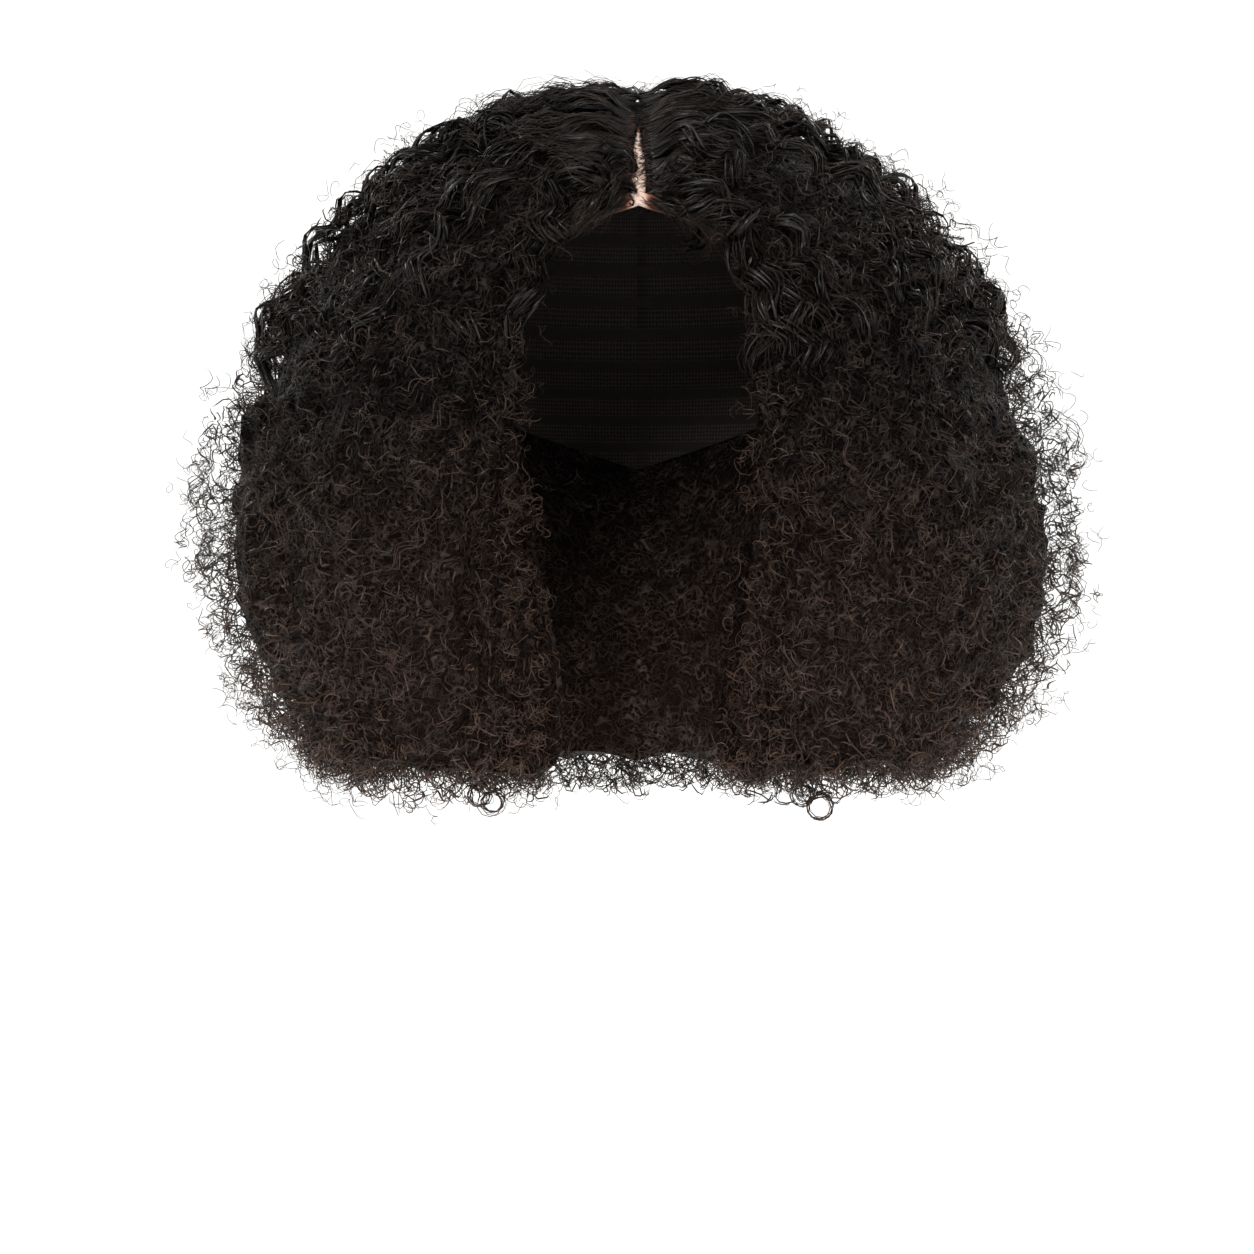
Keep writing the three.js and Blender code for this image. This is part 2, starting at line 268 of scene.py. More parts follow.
@dataclass(frozen=True)
class UnderCurlFinish(Finish):
    """The tangle of the same fibre deep in the hair, where strands show only as fine curved lines.

    The lines are contours of smooth noise, so they bend and close as curls do, and the near-black
    between them is painted shade deep in the tangle. Layers of them cross each other, the deeper ones
    painted darker as shade, and painted shade darkens broad hollows between the clumps. It is
    browner from the top height down to the end height.
    """

    name: str = "modacrylic_under_curls"
    top_tones: Stops = ((0.0, "#060505"), (1.0, "#271f1b"))
    end_tones: Stops = ((0.0, "#150f0d"), (1.0, "#46372f"))
    top_mm: float = -120.0
    end_mm: float = -260.0
    curl_mm: float = 7.5
    contours: float = 6.5
    contour_half: float = 0.5
    mean_height: float = 0.5
    flat: Span = (0.12, 0.22)
    relief_mm: float = 1.0
    bump: float = 0.9
    layers: int = 5
    shift_mm: float = 70.0
    line_share: float = 0.18
    clump_mm: float = 16.0
    clump_edge: Span = (0.35, 0.6)
    hollow_light: float = 0.4
    roughness: float = 0.5
    shine: float = 0.25

    def lines(self, tree: bpy.types.NodeTree, place: bpy.types.NodeSocket, layer: int) -> bpy.types.Node:
        """Draws one layer of contour lines.

        Contours spread into blots on the flat tops and bottoms of the noise, so they fade there.

        Args:
            tree: node tree of the material.
            place: where the noise is read.
            layer: number of the layer; upper ones are stronger, so deeper ones are painted darker as shade.

        Returns:
            A node that gives the layer's strength on a line and 0 beside it.
        """
        shift = [layer * self.shift_mm * MM] * 3
        shifted = add_node(tree, "Mapping", {"Location": shift, "Vector": place})
        noise = {"Scale": 1 / (self.curl_mm * MM), "Detail": 1.0, "Roughness": 0.35, "Distortion": 0.5}
        hills = add_node(tree, "TexNoise", noise | {"Vector": shifted})
        height = add_node(tree, "Math", {"operation": "MULTIPLY", 0: hills, 1: self.contours})
        contour = add_node(tree, "Math", {"operation": "PINGPONG", 0: height, 1: self.contour_half})
        # Upper layers draw stronger lines, so the deeper layers are painted darker as shade.
        stroke = {"From Max": self.line_share, "To Min": (layer + 1) / self.layers, "To Max": 0.0}
        line = add_node(tree, "MapRange", ROUNDED | stroke | {"Value": contour})
        level = add_node(tree, "Math", {"operation": "SUBTRACT", 0: hills, 1: self.mean_height})
        extreme = add_node(tree, "Math", {"operation": "ABSOLUTE", 0: level})
        fading = {"From Min": self.flat[0], "From Max": self.flat[1], "To Min": 1.0, "To Max": 0.0}
        slope = add_node(tree, "MapRange", ROUNDED | fading | {"Value": extreme})
        return add_node(tree, "Math", {"operation": "MULTIPLY", 0: line, 1: slope})

    def surface(self, tree: bpy.types.NodeTree) -> dict[str, Any]:
        """Lays the layers of lines over each other, paints shade into the hollows and browns the lower
        part.

        Args:
            tree: node tree of the material.

        Returns:
            The shader's fields.
        """
        place = add_node(tree, "TexCoord").outputs["Object"]
        drawn = self.lines(tree, place, 0)
        for layer in range(1, self.layers):
            upper = self.lines(tree, place, layer)
            drawn = add_node(tree, "Math", {"operation": "MAXIMUM", 0: drawn, 1: upper})
        # Broad noise paints shade into the hollows between the clumps: the lines keep only hollow_light of
        # their brightness there.
        broad = {"Scale": 1 / (self.clump_mm * MM), "Detail": 1.0, "Vector": place}
        clumps = add_node(tree, "TexNoise", broad)
        dark, lit = self.clump_edge
        edge = {"From Min": dark, "From Max": lit, "To Min": self.hollow_light, "Value": clumps}
        light = add_node(tree, "MapRange", ROUNDED | edge)
        lines_in_painted_shade = add_node(tree, "Math", {"operation": "MULTIPLY", 0: drawn, 1: light})
        height = add_node(tree, "SeparateXYZ", {"Vector": place}).outputs["Z"]
        fall = {"From Min": self.top_mm * MM, "From Max": self.end_mm * MM, "Value": height}
        lower = add_node(tree, "MapRange", fall)
        black, brown = (
            add_node(tree, "ValToRGB", {"Fac": lines_in_painted_shade, "color_ramp": tones})
            for tones in (self.top_tones, self.end_tones)
        )
        colours = {"data_type": "RGBA", MIX_SHARE: lower, MIX_FIRST: black, MIX_SECOND: brown}
        relief = {"Strength": self.bump, "Distance": self.relief_mm * MM, "Height": lines_in_painted_shade}
        gloss = {"operation": "MULTIPLY", 0: lines_in_painted_shade, 1: self.shine}
        return {
            "Base Color": add_node(tree, "Mix", colours).outputs[MIX_COLOUR],
            "Normal": add_node(tree, "Bump", relief),
            "Specular IOR Level": add_node(tree, "Math", gloss),
            "IOR": FIBRE_IOR,
        }


@dataclass(frozen=True)
class LaceFinish(Finish):
    """Swiss lace: a matt nylon net, knitted so fine that it passes for skin.

    It is palest along the middle of the parting and rust-brown where the hair is knotted in. The
    real mesh is too fine to show, so it is drawn at the size given here.
    """

    name: str = "nylon_lace"
    tones: Stops = ((0.0, "#e0c4b4"), (0.16, "#a3705a"), (0.34, "#5c3425"), (0.75, "#170f0c"))
    mesh_mm: float = 0.9
    pale_half_mm: float = 1.9
    dark_half_mm: float = 13.0
    patch_mm: float = 2.5
    relief_mm: float = 0.15
    bump: float = 0.5
    fade_from_mm: float = -52.0
    fade_to_mm: float = -36.0
    roughness: float = 0.75
    shine: float = 0.3

    def surface(self, tree: bpy.types.NodeTree) -> dict[str, Any]:
        """Darkens the lace with the distance from the middle, made ragged by noise, and at the back.

        Args:
            tree: node tree of the material.

        Returns:
            The shader's fields.
        """
        patch = self.patch_mm * MM
        place = add_node(tree, "TexCoord").outputs["Object"]
        x, y, _ = add_node(tree, "SeparateXYZ", {"Vector": place}).outputs
        aside = add_node(tree, "Math", {"operation": "ABSOLUTE", 0: x})
        patches = add_node(tree, "TexNoise", {"Scale": 1 / patch, "Detail": 2.0, "Vector": place})
        ragged = add_node(tree, "Math", {"operation": "MULTIPLY_ADD", 0: patches, 1: patch, 2: -patch / 2})
        edge = add_node(tree, "Math", {"operation": "ADD", 0: aside, 1: ragged})
        across = {"From Min": self.pale_half_mm * MM, "From Max": self.dark_half_mm * MM, "Value": edge}
        behind = {"From Min": self.fade_from_mm * MM, "From Max": self.fade_to_mm * MM, "Value": y}
        knotted, closing = (add_node(tree, "MapRange", fields) for fields in (across, behind))
        dark = add_node(tree, "Math", {"operation": "MAXIMUM", 0: knotted, 1: closing})
        mesh = add_node(tree, "TexVoronoi", {"Scale": 1 / (self.mesh_mm * MM), "Vector": place})
        relief = {"Strength": self.bump, "Distance": self.relief_mm * MM, "Height": mesh}
        return {
            "Base Color": add_node(tree, "ValToRGB", {"Fac": dark, "color_ramp": self.tones}),
            "Normal": add_node(tree, "Bump", relief),
            "Specular IOR Level": self.shine,
        }


@dataclass(frozen=True)
class NetFinish(Finish):
    """Black-brown stretch net of elastane and nylon, with rows of weft tape sewn on inside.

    The net is matt and darker in its holes. Each tape is a smooth level band. The map is in metres,
    U round the cap and V down from the crown.
    """

    name: str = "elastane_net"
    tones: Stops = ((0.25, "#0b0909"), (0.5, "#332a27"))
    tape: str = "#1b1615"
    mesh_mm: float = 1.7
    mesh_uneven: float = 0.15
    row_mm: float = 12.0
    tape_share: float = 0.32
    relief_mm: float = 0.5
    bump: float = 0.6
    roughness: float = 0.8
    shine: float = 0.25

    def surface(self, tree: bpy.types.NodeTree) -> dict[str, Any]:
        """Draws the net as cells on the map, and a tape over the first part of each row.

        Args:
            tree: node tree of the material.

        Returns:
            The shader's fields.
        """
        place = add_node(tree, "UVMap", {"uv_map": STRAND_MAP})
        down = add_node(tree, "SeparateXYZ", {"Vector": place}).outputs["Y"]
        net = {"voronoi_dimensions": "2D", "Scale": 1 / (self.mesh_mm * MM), "Randomness": self.mesh_uneven}
        cells = add_node(tree, "TexVoronoi", net | {"Vector": place})
        threads = add_node(tree, "ValToRGB", {"Fac": cells, "color_ramp": self.tones})
        rows = add_node(tree, "Math", {"operation": "MULTIPLY", 0: down, 1: 1 / (self.row_mm * MM)})
        within = add_node(tree, "Math", {"operation": "FRACT", 0: rows})
        taped = add_node(tree, "Math", {"operation": "LESS_THAN", 0: within, 1: self.tape_share})
        colours = {MIX_SHARE: taped, MIX_FIRST: threads, MIX_SECOND: linear(self.tape)}
        height = add_node(tree, "Math", {"operation": "MAXIMUM", 0: taped, 1: cells})
        relief = {"Strength": self.bump, "Distance": self.relief_mm * MM, "Height": height}
        return {
            "Base Color": add_node(tree, "Mix", {"data_type": "RGBA"} | colours).outputs[MIX_COLOUR],
            "Normal": add_node(tree, "Bump", relief),
            "Specular IOR Level": self.shine,
        }


@dataclass(frozen=True)
class PaperFinish(Finish):
    """Seamless studio paper that glows of itself: matt white with a faint mottle."""

    name: str = "studio_paper"
    tones: Stops = ((0.3, "#f1f1f0"), (0.7, "#f6f6f5"))
    mottle_mm: float = 60.0
    glow: float = 0.3
    seen_glow: float = 0.85
    roughness: float = 0.9
    shine: float = 0.1

    def surface(self, tree: bpy.types.NodeTree) -> dict[str, Any]:
        """Lets the paper glow, less towards the wig than to the eye.

        Args:
            tree: node tree of the material.

        Returns:
            The shader's fields.
        """
        place = add_node(tree, "TexCoord").outputs["Object"]
        mottle = add_node(tree, "TexNoise", {"Scale": 1 / (self.mottle_mm * MM), "Vector": place})
        colour = add_node(tree, "ValToRGB", {"Fac": mottle, "color_ramp": self.tones})
        glow = {"To Min": self.glow, "To Max": self.seen_glow, "Value": add_node(tree, "LightPath")}
        return {
            "Base Color": colour,
            "Emission Color": colour,
            "Emission Strength": add_node(tree, "MapRange", glow),
            "Specular IOR Level": self.shine,
        }


@dataclass
class MeshData:
    """Arrays of one mesh: vertices, four-sided and three-sided faces and a map for each vertex."""

    vertices: np.ndarray
    quads: np.ndarray
    triangles: np.ndarray
    uv: np.ndarray

    def joined(self, other: "MeshData") -> "MeshData":
        """Puts two meshes into one, without welding them.

        Args:
            other: the second mesh.

        Returns:
            The joined mesh.
        """
        start = len(self.vertices)
        return MeshData(
            np.concatenate([self.vertices, other.vertices]),
            np.concatenate([self.quads, other.quads + start]),
            np.concatenate([self.triangles, other.triangles + start]),
            np.concatenate([self.uv, other.uv]),
        )

    def to_object(self, name: str, material: bpy.types.Material) -> bpy.types.Object:
        """Makes a smooth-shaded object of the arrays.

        Args:
            name: name of the object and its mesh.
            material: the only material.

        Returns:
            The object, linked to the scene.
        """
        corners = np.concatenate([self.quads.ravel(), self.triangles.ravel()]).astype(np.int32)
        sizes = np.concatenate([np.full(len(self.quads), 4), np.full(len(self.triangles), 3)])
        starts = np.concatenate([[0], np.cumsum(sizes)[:-1]]).astype(np.int32)
        mesh = bpy.data.meshes.new(name)
        mesh.vertices.add(len(self.vertices))
        mesh.vertices.foreach_set("co", self.vertices.astype(np.float32).ravel())
        mesh.loops.add(len(corners))
        mesh.loops.foreach_set("vertex_index", corners)
        mesh.polygons.add(len(sizes))
        mesh.polygons.foreach_set("loop_start", starts)
        mesh.polygons.foreach_set("use_smooth", np.ones(len(sizes), dtype=bool))
        layer = mesh.uv_layers.new(name=STRAND_MAP)
        layer.data.foreach_set("uv", self.uv[corners].astype(np.float32).ravel())
        mesh.update(calc_edges=True)
        mesh.validate()
        mesh.materials.append(material)
        made = bpy.data.objects.new(name, mesh)
        bpy.context.scene.collection.objects.link(made)
        return made


def unit(vectors: np.ndarray) -> np.ndarray:
    """Scales vectors to a length of one."""
    return vectors / np.maximum(np.linalg.norm(vectors, axis=-1, keepdims=True), TINY)


def smooth_step(value: np.ndarray, low: float, high: float) -> np.ndarray:
    """Rises from 0 at low to 1 at high with level ends."""
    share = np.clip((value - low) / (high - low), 0, 1)
    return share * share * (3 - 2 * share)


def smooth_table(at: np.ndarray, places: np.ndarray, values: np.ndarray) -> np.ndarray:
    """Reads a table at any place along a smooth curve.

    Between two rows the curve is the cubic that has their values and the slopes of the polyline
    through the rows beside them.

    Args:
        at: where to read.
        places: the rows' places, rising.
        values: the rows' values.

    Returns:
        The values there.
    """
    slopes = np.gradient(values, places)
    row = np.clip(np.searchsorted(places, at) - 1, 0, len(places) - 2)
    step = places[row + 1] - places[row]
    t = np.clip((at - places[row]) / step, 0, 1)
    start = (1 + 2 * t) * (1 - t) ** 2 * values[row] + t * (1 - t) ** 2 * step * slopes[row]
    end = t**2 * (3 - 2 * t) * values[row + 1] - t**2 * (1 - t) * step * slopes[row + 1]
    return start + end


def lumps(points: np.ndarray, size: float, lattice: Lattice) -> np.ndarray:
    """Gives smooth random heights in space.

    Each corner of a cubic lattice has a hashed height, and a point's height is the smooth mix of
    the eight corners round it.

    Args:
        points: places, three columns.
        size: the lattice's step.
        lattice: which lattice.

    Returns:
        Heights from -1 to 1.
    """
    cell = points / size
    base = np.floor(cell).astype(np.int64)
    part = smooth_step(cell - base, 0, 1)
    total = np.zeros(points.shape[:-1])
    for corner in np.ndindex(2, 2, 2):
        key = (base + corner) * HASH_AXES
        mixed = (key[..., 0] ^ key[..., 1] ^ key[..., 2]) + lattice.value * HASH_LATTICE
        height = (mixed * HASH_FACTOR % HASH_RANGE) / HASH_RANGE
        total += np.prod(np.where(corner, part, 1 - part), axis=-1) * height
    return 2 * total - 1


def grid_quads(rows: int, columns: int, closed: bool = False) -> np.ndarray:
    """Lists the faces of a grid of vertices numbered row by row.

    Args:
        rows: rows of vertices.
        columns: vertices in a row.
        closed: whether each row ends where it starts.

    Returns:
        Four vertex numbers for each face.
    """
    wide = columns if closed else columns - 1
    row, column = np.meshgrid(np.arange(rows - 1), np.arange(wide), indexing="ij")
    after = (column + 1) % columns
    first, second = row * columns + column, row * columns + after
    return np.stack([first, second, second + columns, first + columns], axis=-1).reshape(-1, 4)


def run_along(paths: np.ndarray) -> np.ndarray:
    """Measures the length along each path up to each of its points."""
    steps = np.linalg.norm(np.diff(paths, axis=1), axis=-1)
    return np.concatenate([np.zeros((len(paths), 1)), np.cumsum(steps, axis=1)], axis=1)


@dataclass(frozen=True)
class Hollow:
    """The space inside the wig: a dome of half ellipsoids, and below it a narrowing oval tube.

    The tables are in millimetres: the tube's half width and its reach ahead and behind at each drop
    below the crown, and the drop of the cap's rim at each azimuth, in degrees from the front.
    """

    dome: float = 105 * MM
    drops: Table = (105, 135, 165, 200, 235, 330)
    half_widths: Table = (76, 74, 68, 59, 54, 56)
    fronts: Table = (95, 93, 89, 74, 54, 50)
    backs: Table = (97, 90, 77, 64, 61, 64)
    rim_azimuths: Table = (0, 30, 55, 80, 110, 145, 180)
    rim_drops: Table = (47, 61, 86, 114, 124, 136, 150)

    def extents(self, drop: np.ndarray, ahead: np.ndarray, grow: float) -> tuple[np.ndarray, np.ndarray]:
        """Reads the size of the wall at drops below the crown.

        Args:
            drop: the drops.
            ahead: whether each place lies in the front half.
            grow: how far the wall is grown outwards.

        Returns:
            Half width, and reach ahead or behind.
        """
        below, places = np.maximum(drop, self.dome), np.array(self.drops) * MM
        width, front, back = (
            smooth_table(below, places, np.array(table) * MM)
            for table in (self.half_widths, self.fronts, self.backs)
        )
        return width + grow, np.where(ahead, front, back) + grow

    def rim(self, azimuth: np.ndarray) -> np.ndarray:
        """Reads the drop of the cap's rim at azimuths from the front, in radians."""
        turned = np.degrees(np.abs((azimuth + math.pi) % TURN - math.pi))
        return smooth_table(turned, np.array(self.rim_azimuths, dtype=float), np.array(self.rim_drops) * MM)

    def point(self, azimuth: np.ndarray, drop: np.ndarray, grow: float) -> np.ndarray:
        """Gives points on the wall: an oval ring at each drop, which closes to a pole at the crown.

        Args:
            azimuth: turns from the front, in radians.
            drop: drops below the crown.
            grow: how far the wall is grown outwards.

        Returns:
            The points.
        """
        width, reach = self.extents(drop, np.cos(azimuth) > 0, grow)
        level = np.minimum(drop / self.dome, 1)
        share = np.sqrt(1 - (1 - level) ** 2)
        x, y = width * share * np.sin(azimuth), -reach * share * np.cos(azimuth)
        return np.stack([x, y, grow * (1 - level) - drop], axis=-1)

    def crown(self, x: np.ndarray, y: np.ndarray, grow: float) -> np.ndarray:
        """Gives points of the dome, by the ellipsoid's equation, above places in plan.

        Args:
            x: places to the right.
            y: places behind.
            grow: how far the wall is grown outwards.

        Returns:
            The points.
        """
        width, reach = self.extents(np.zeros_like(x), y < 0, grow)
        rest = np.maximum(1 - (x / width) ** 2 - (y / reach) ** 2, 0)
        return np.stack([x, y, (self.dome + grow) * np.sqrt(rest) - self.dome], axis=-1)

    def outward(self, points: np.ndarray) -> np.ndarray:
        """Gives the directions from the dome's centre to points."""
        return unit(points + np.array([0, 0, self.dome]))

    def ratio(self, points: np.ndarray, grow: float) -> np.ndarray:
        """Tells how far out points lie, by the ellipsoid's equation.

        Args:
            points: the points.
            grow: how far the wall is grown outwards.

        Returns:
            1 on the wall, less inside it.
        """
        width, reach = self.extents(-points[..., 2], points[..., 1] < 0, grow)
        above = np.maximum(points[..., 2] + self.dome, 0) / (self.dome + grow)
        return np.sqrt((points[..., 0] / width) ** 2 + (points[..., 1] / reach) ** 2 + above**2)

    def project(self, points: np.ndarray, grow: float) -> np.ndarray:
        """Moves points to the wall: towards the dome's centre, or level below the dome.

        Args:
            points: the points.
            grow: how far the wall is grown outwards.

        Returns:
            The moved points.
        """
        ratio = np.maximum(self.ratio(points, grow), TINY)
        height = points[..., 2] + self.dome
        moved = points / ratio[..., None]
        moved[..., 2] = np.where(height > 0, height / ratio, height) - self.dome
        return moved


class Frame(NamedTuple):
    """Points of the hair's form with the directions there and the form's speed along them."""

    at: np.ndarray
    across: np.ndarray
    down: np.ndarray
    out: np.ndarray
    wide: np.ndarray
    tall: np.ndarray


@dataclass
class HairForm:
    """The outer form of the hair as a function of two parameters.

    u runs once round the wig through the stations, right side first, and v falls from 0 at the
    parting to 1 at the hem. At each station the fall line is a quarter ellipse from the parting to
    the widest place and a second one from there to the hem. The stations' tables are in
    millimetres. Spans of v have fall in their names.
    """

    hollow: Hollow = Hollow()
    top_y: Table = (-79, -79, -79, -75, -60, -28, 2, 12)
    wide_x: Table = (16, 46, 57, 94, 149, 186, 131, 0)
    wide_y: Table = (-12, -48, -84, -95, -62, 26, 126, 166)
    wide_z: Table = (-150, -150, -150, -176, -188, -193, -190, -184)
    hem_x: Table = (16, 38, 51, 80, 111, 122, 94, 0)
    hem_y: Table = (0, -16, -52, -68, -44, 22, 100, 128)
    hem_z: Table = (-284, -284, -285, -286, -281, -275, -280, -285)
    face_edge: int = 2
    cap_wall: float = 1.5 * MM
    seat_gap: float = 0.6 * MM
    hairline_lift: float = 4 * MM
    crown_lift: float = 6.5 * MM
    swell: float = 5 * MM
    swell_end: float = 0.4
    widest_at: float = 0.62
    back_split: float = 24 * MM
    groove_half: float = 3.5 * MM
    groove_end: float = -38 * MM
    groove_taper: float = 1.3
    groove_steepest: float = 0.5
    rise_end: float = -8 * MM
    climb: float = 15 * MM
    core_top: float = 4.5 * MM
    core_low: float = 13 * MM
    core_level: float = 8 * MM
    core_hem: float = 6.5 * MM
    core_fall: Span = (0.12, 0.5)
    hem_fall: Span = (0.85, 1.0)
    level_turn: Span = (0.5, 0.95)
    relief: float = 4.5 * MM
    small_relief: float = 0.9
    relief_fall: Span = (0.05, 0.35)
    lump_size: float = 16 * MM
    small_lump_size: float = 8 * MM
    hem_calm: float = 0.35
    calm_fall: Span = (0.9, 1.0)
    bunch: float = 6.5 * MM
    bunch_size: float = 30 * MM
    bunch_fall: Span = (0.2, 0.45)
    core_bunch_share: float = 0.4
    front_share: float = 0.65
    edge_share: float = 1.6
    hem_share: float = 1.9
    dense_fall: Span = (0.7, 1.0)
    face_share: float = 1.2
    face_clear: Span = (0.02, 0.3)
    back_thinning: float = 0.35
    thin_end: float = 96 * MM
    rim_overlap: float = 4 * MM
    scan_around: int = 600
    scan_down: int = 160
    face_scan: int = 160
    back_scan: int = 400
    nudge: float = 0.003

    def __post_init__(self) -> None:
        """Works out the stations of the whole ring: the right side, the back and the mirrored left."""
        top_y = np.array(self.top_y) * MM
        top = np.stack([np.zeros_like(top_y), top_y, self.parting_height(top_y)], axis=-1)
        wide = np.stack([self.wide_x, self.wide_y, self.wide_z], axis=-1) * MM
        hem = np.stack([self.hem_x, self.hem_y, self.hem_z], axis=-1) * MM
        self.top, self.wide, self.hem = (
            np.concatenate([rows, rows[-2::-1] * TO_LEFT]) for rows in (top, wide, hem)
        )
        self.stations = len(self.top)
        self.back_u = (len(top) - 1) / self.stations
        self.last_u = (self.stations - 1) / self.stations
        self.face_u = self.face_edge / self.stations
        self.seat = self.cap_wall + self.seat_gap

    def parting_height(self, y: np.ndarray) -> np.ndarray:
        """Gives the height of the hair on the parting: the cap's crown and the lift of the hair.

        Args:
            y: places along the parting.

        Returns:
            The heights.
        """
        wall = self.hollow
        reach = np.where(y < 0, wall.fronts[0], wall.backs[0]) * MM
        crown = smooth_step(y, -wall.fronts[0] * MM, 0)
        cap = -wall.dome * (1 - np.sqrt(1 - (y / reach) ** 2))
        return cap + self.cap_wall + self.hairline_lift + (self.crown_lift - self.hairline_lift) * crown

    def points(self, u: np.ndarray, v: np.ndarray) -> np.ndarray:
        """Gives points of the form: a closed cubic curve through the stations' fall lines at v.

        The curve's slope at a station is half the step between the stations beside it, and a half
        sine wave swells the upper part of the fall.

        Args:
            u: places round the wig.
            v: falls, which past 1 go straight down.

        Returns:
            The points.
        """
        place = (u % 1) * self.stations
        first = np.floor(place).astype(int)
        t = (place - first)[..., None]
        before, start = -t + 2 * t**2 - t**3, 2 - 5 * t**2 + 3 * t**3
        end, after = t + 4 * t**2 - 3 * t**3, -(t**2) + t**3
        weights = np.concatenate([before, start, end, after], axis=-1) / 2
        near = (first[..., None] + np.array([-1, 0, 1, 2])) % self.stations
        top, wide, hem = self.top[near], self.wide[near], self.hem[near]
        drop = np.clip(v, 0, 1)[..., None]
        upper = np.minimum(drop / self.widest_at, 1) * math.pi / 2
        lower = np.maximum((drop - self.widest_at) / (1 - self.widest_at), 0) * math.pi / 2
        flat = top + (wide - top) * np.sin(upper)[..., None] + (hem - wide) * (1 - np.cos(lower))[..., None]
        height = wide[..., 2] + (top[..., 2] - wide[..., 2]) * np.cos(upper)
        height = height + (hem[..., 2] - wide[..., 2]) * np.sin(lower)
        flat[..., 2] = height + self.swell * np.sin(math.pi * np.minimum(drop / self.swell_end, 1))
        made = np.sum(weights[..., None] * flat, axis=-2)
        made[..., 2] += np.maximum(v - 1, 0) * self.wide[0, 2]
        return made

    def inner(self, u: np.ndarray, v: np.ndarray) -> np.ndarray:
        """Gives points of the inner wall, where the outer form is drawn in to the hollow."""
        return self.hollow.project(self.points(u, v), self.seat)

    def under(self, u: np.ndarray, v: np.ndarray) -> np.ndarray:
        """Gives points of the underside, straight across from the hem at v 0 to the inner wall at v 1."""
        hem = np.ones_like(u)
        return self.points(u, hem) + v[..., None] * (self.inner(u, hem) - self.points(u, hem))

    def frame(self, u: np.ndarray, v: np.ndarray, skin: Skin = Skin.OUTER) -> Frame:
        """Gives points and directions of one face of the hair, from differences a nudge apart.

        Args:
            u: places round the wig.
            v: falls, or on the underside the way across.
            skin: which face.

        Returns:
            The points with their directions and speeds.
        """
        shape = {Skin.OUTER: self.points, Skin.INNER: self.inner, Skin.UNDER: self.under}[skin]
        middle = np.clip(v, 2 * self.nudge, 1 - self.nudge)
        side = (shape(u + self.nudge, middle) - shape(u - self.nudge, middle)) / (2 * self.nudge)
        fall = (shape(u, middle + self.nudge) - shape(u, middle - self.nudge)) / (2 * self.nudge)
        out = unit(np.cross(fall, side)) * (-1 if skin is Skin.INNER else 1)
        wide, tall = np.linalg.norm(side, axis=-1), np.linalg.norm(fall, axis=-1)
        return Frame(shape(u, v), unit(side), unit(fall), out, wide, tall)

    def groove_v(self, u: np.ndarray) -> np.ndarray:
        """Tells where the hair starts beside the parting.

        Args:
            u: places round the wig.

        Returns:
            v at the edge of the lace that shows.
        """
        widest = np.abs(self.points(u, np.full_like(u, self.widest_at))[..., 0])
        half = self.groove_half * self.groove_share(self.points(u, np.zeros_like(u))[..., 1])
        edge = np.arcsin(np.clip(half / np.maximum(widest, TINY), 0, self.groove_steepest))
        return edge * 2 / math.pi * self.widest_at

    def groove_share(self, y: np.ndarray) -> np.ndarray:
        """Gives the parting's width along its length, 0 at its back end to 1 at the hairline."""
        return (1 - smooth_step(y, self.top_y[0] * MM, self.groove_end)) ** self.groove_taper

    def risen(self, u: np.ndarray, run: np.ndarray) -> np.ndarray:
        """Tells how far the hair has risen from the cap beside the parting.

        Args:
            u: places round the wig.
            run: lengths from the edge of the parting.

        Returns:
            0 on the cap to 1 on the form.
        """
        top = self.points(u, np.zeros_like(u))[..., 1]
        parted = 1 - smooth_step(top, self.groove_end, self.rise_end)
        return 1 - parted * (1 - smooth_step(run, 0, self.climb))

    def bunches(self, v: np.ndarray, at: np.ndarray) -> np.ndarray:
        """Gives how far the curls stand out in bunches and fall back in bays, as broad lumps."""
        return self.bunch * smooth_step(v, *self.bunch_fall) * lumps(at, self.bunch_size, Lattice.BUNCHES)

    def core_depth(self, v: np.ndarray, at: np.ndarray, out: np.ndarray) -> np.ndarray:
        """Gives how far under the form the dense core lies: deeper down the fall, uneven with lumps.

        It is deepest at the sides and shallower in front and behind, where the curls are sparser.

        Args:
            v: falls of the places.
            at: the places.
            out: the form's outward directions there.

        Returns:
            The depths.
        """
        level = smooth_step(np.abs(out[..., 1]), *self.level_turn)
        low = self.core_low + (self.core_level - self.core_low) * level
        depth = self.core_top + (low - self.core_top) * smooth_step(v, *self.core_fall)
        depth = depth - (low - self.core_hem) * smooth_step(v, *self.hem_fall)
        small = self.small_relief * lumps(at, self.small_lump_size, Lattice.SMALL_LUMPS)
        lumpy = lumps(at, self.lump_size, Lattice.LUMPS) + small
        calm = 1 - self.hem_calm * smooth_step(v, *self.calm_fall)
        relief = self.relief * smooth_step(v, *self.relief_fall) * calm
        return np.maximum(depth - relief * lumpy - self.core_bunch_share * self.bunches(v, at), 0)

    def face_limit(self, v: np.ndarray) -> np.ndarray:
        """Finds the right face edge, where the outer form comes out of the hollow.

        Args:
            v: falls.

        Returns:
            u of the edge at each fall.
        """
        scan = np.linspace(0, self.face_u, self.face_scan)
        u, fall = np.meshgrid(scan, v, indexing="xy")
        clear = self.hollow.ratio(self.points(u, fall), self.seat) > 1 + self.face_clear[0]
        return scan[np.argmax(clear, axis=1)]

    def back_limit(self, v: np.ndarray) -> np.ndarray:
        """Finds where the right front mass ends and the back mass begins.

        Args:
            v: falls.

        Returns:
            u of the limit at each fall.
        """
        scan = np.linspace(self.face_u, self.back_u, self.back_scan)
        u, fall = np.meshgrid(scan, v, indexing="xy")
        behind = self.points(u, fall)[..., 1] > self.back_split
        return np.where(behind.any(axis=1), scan[np.argmax(behind, axis=1)], self.back_u)

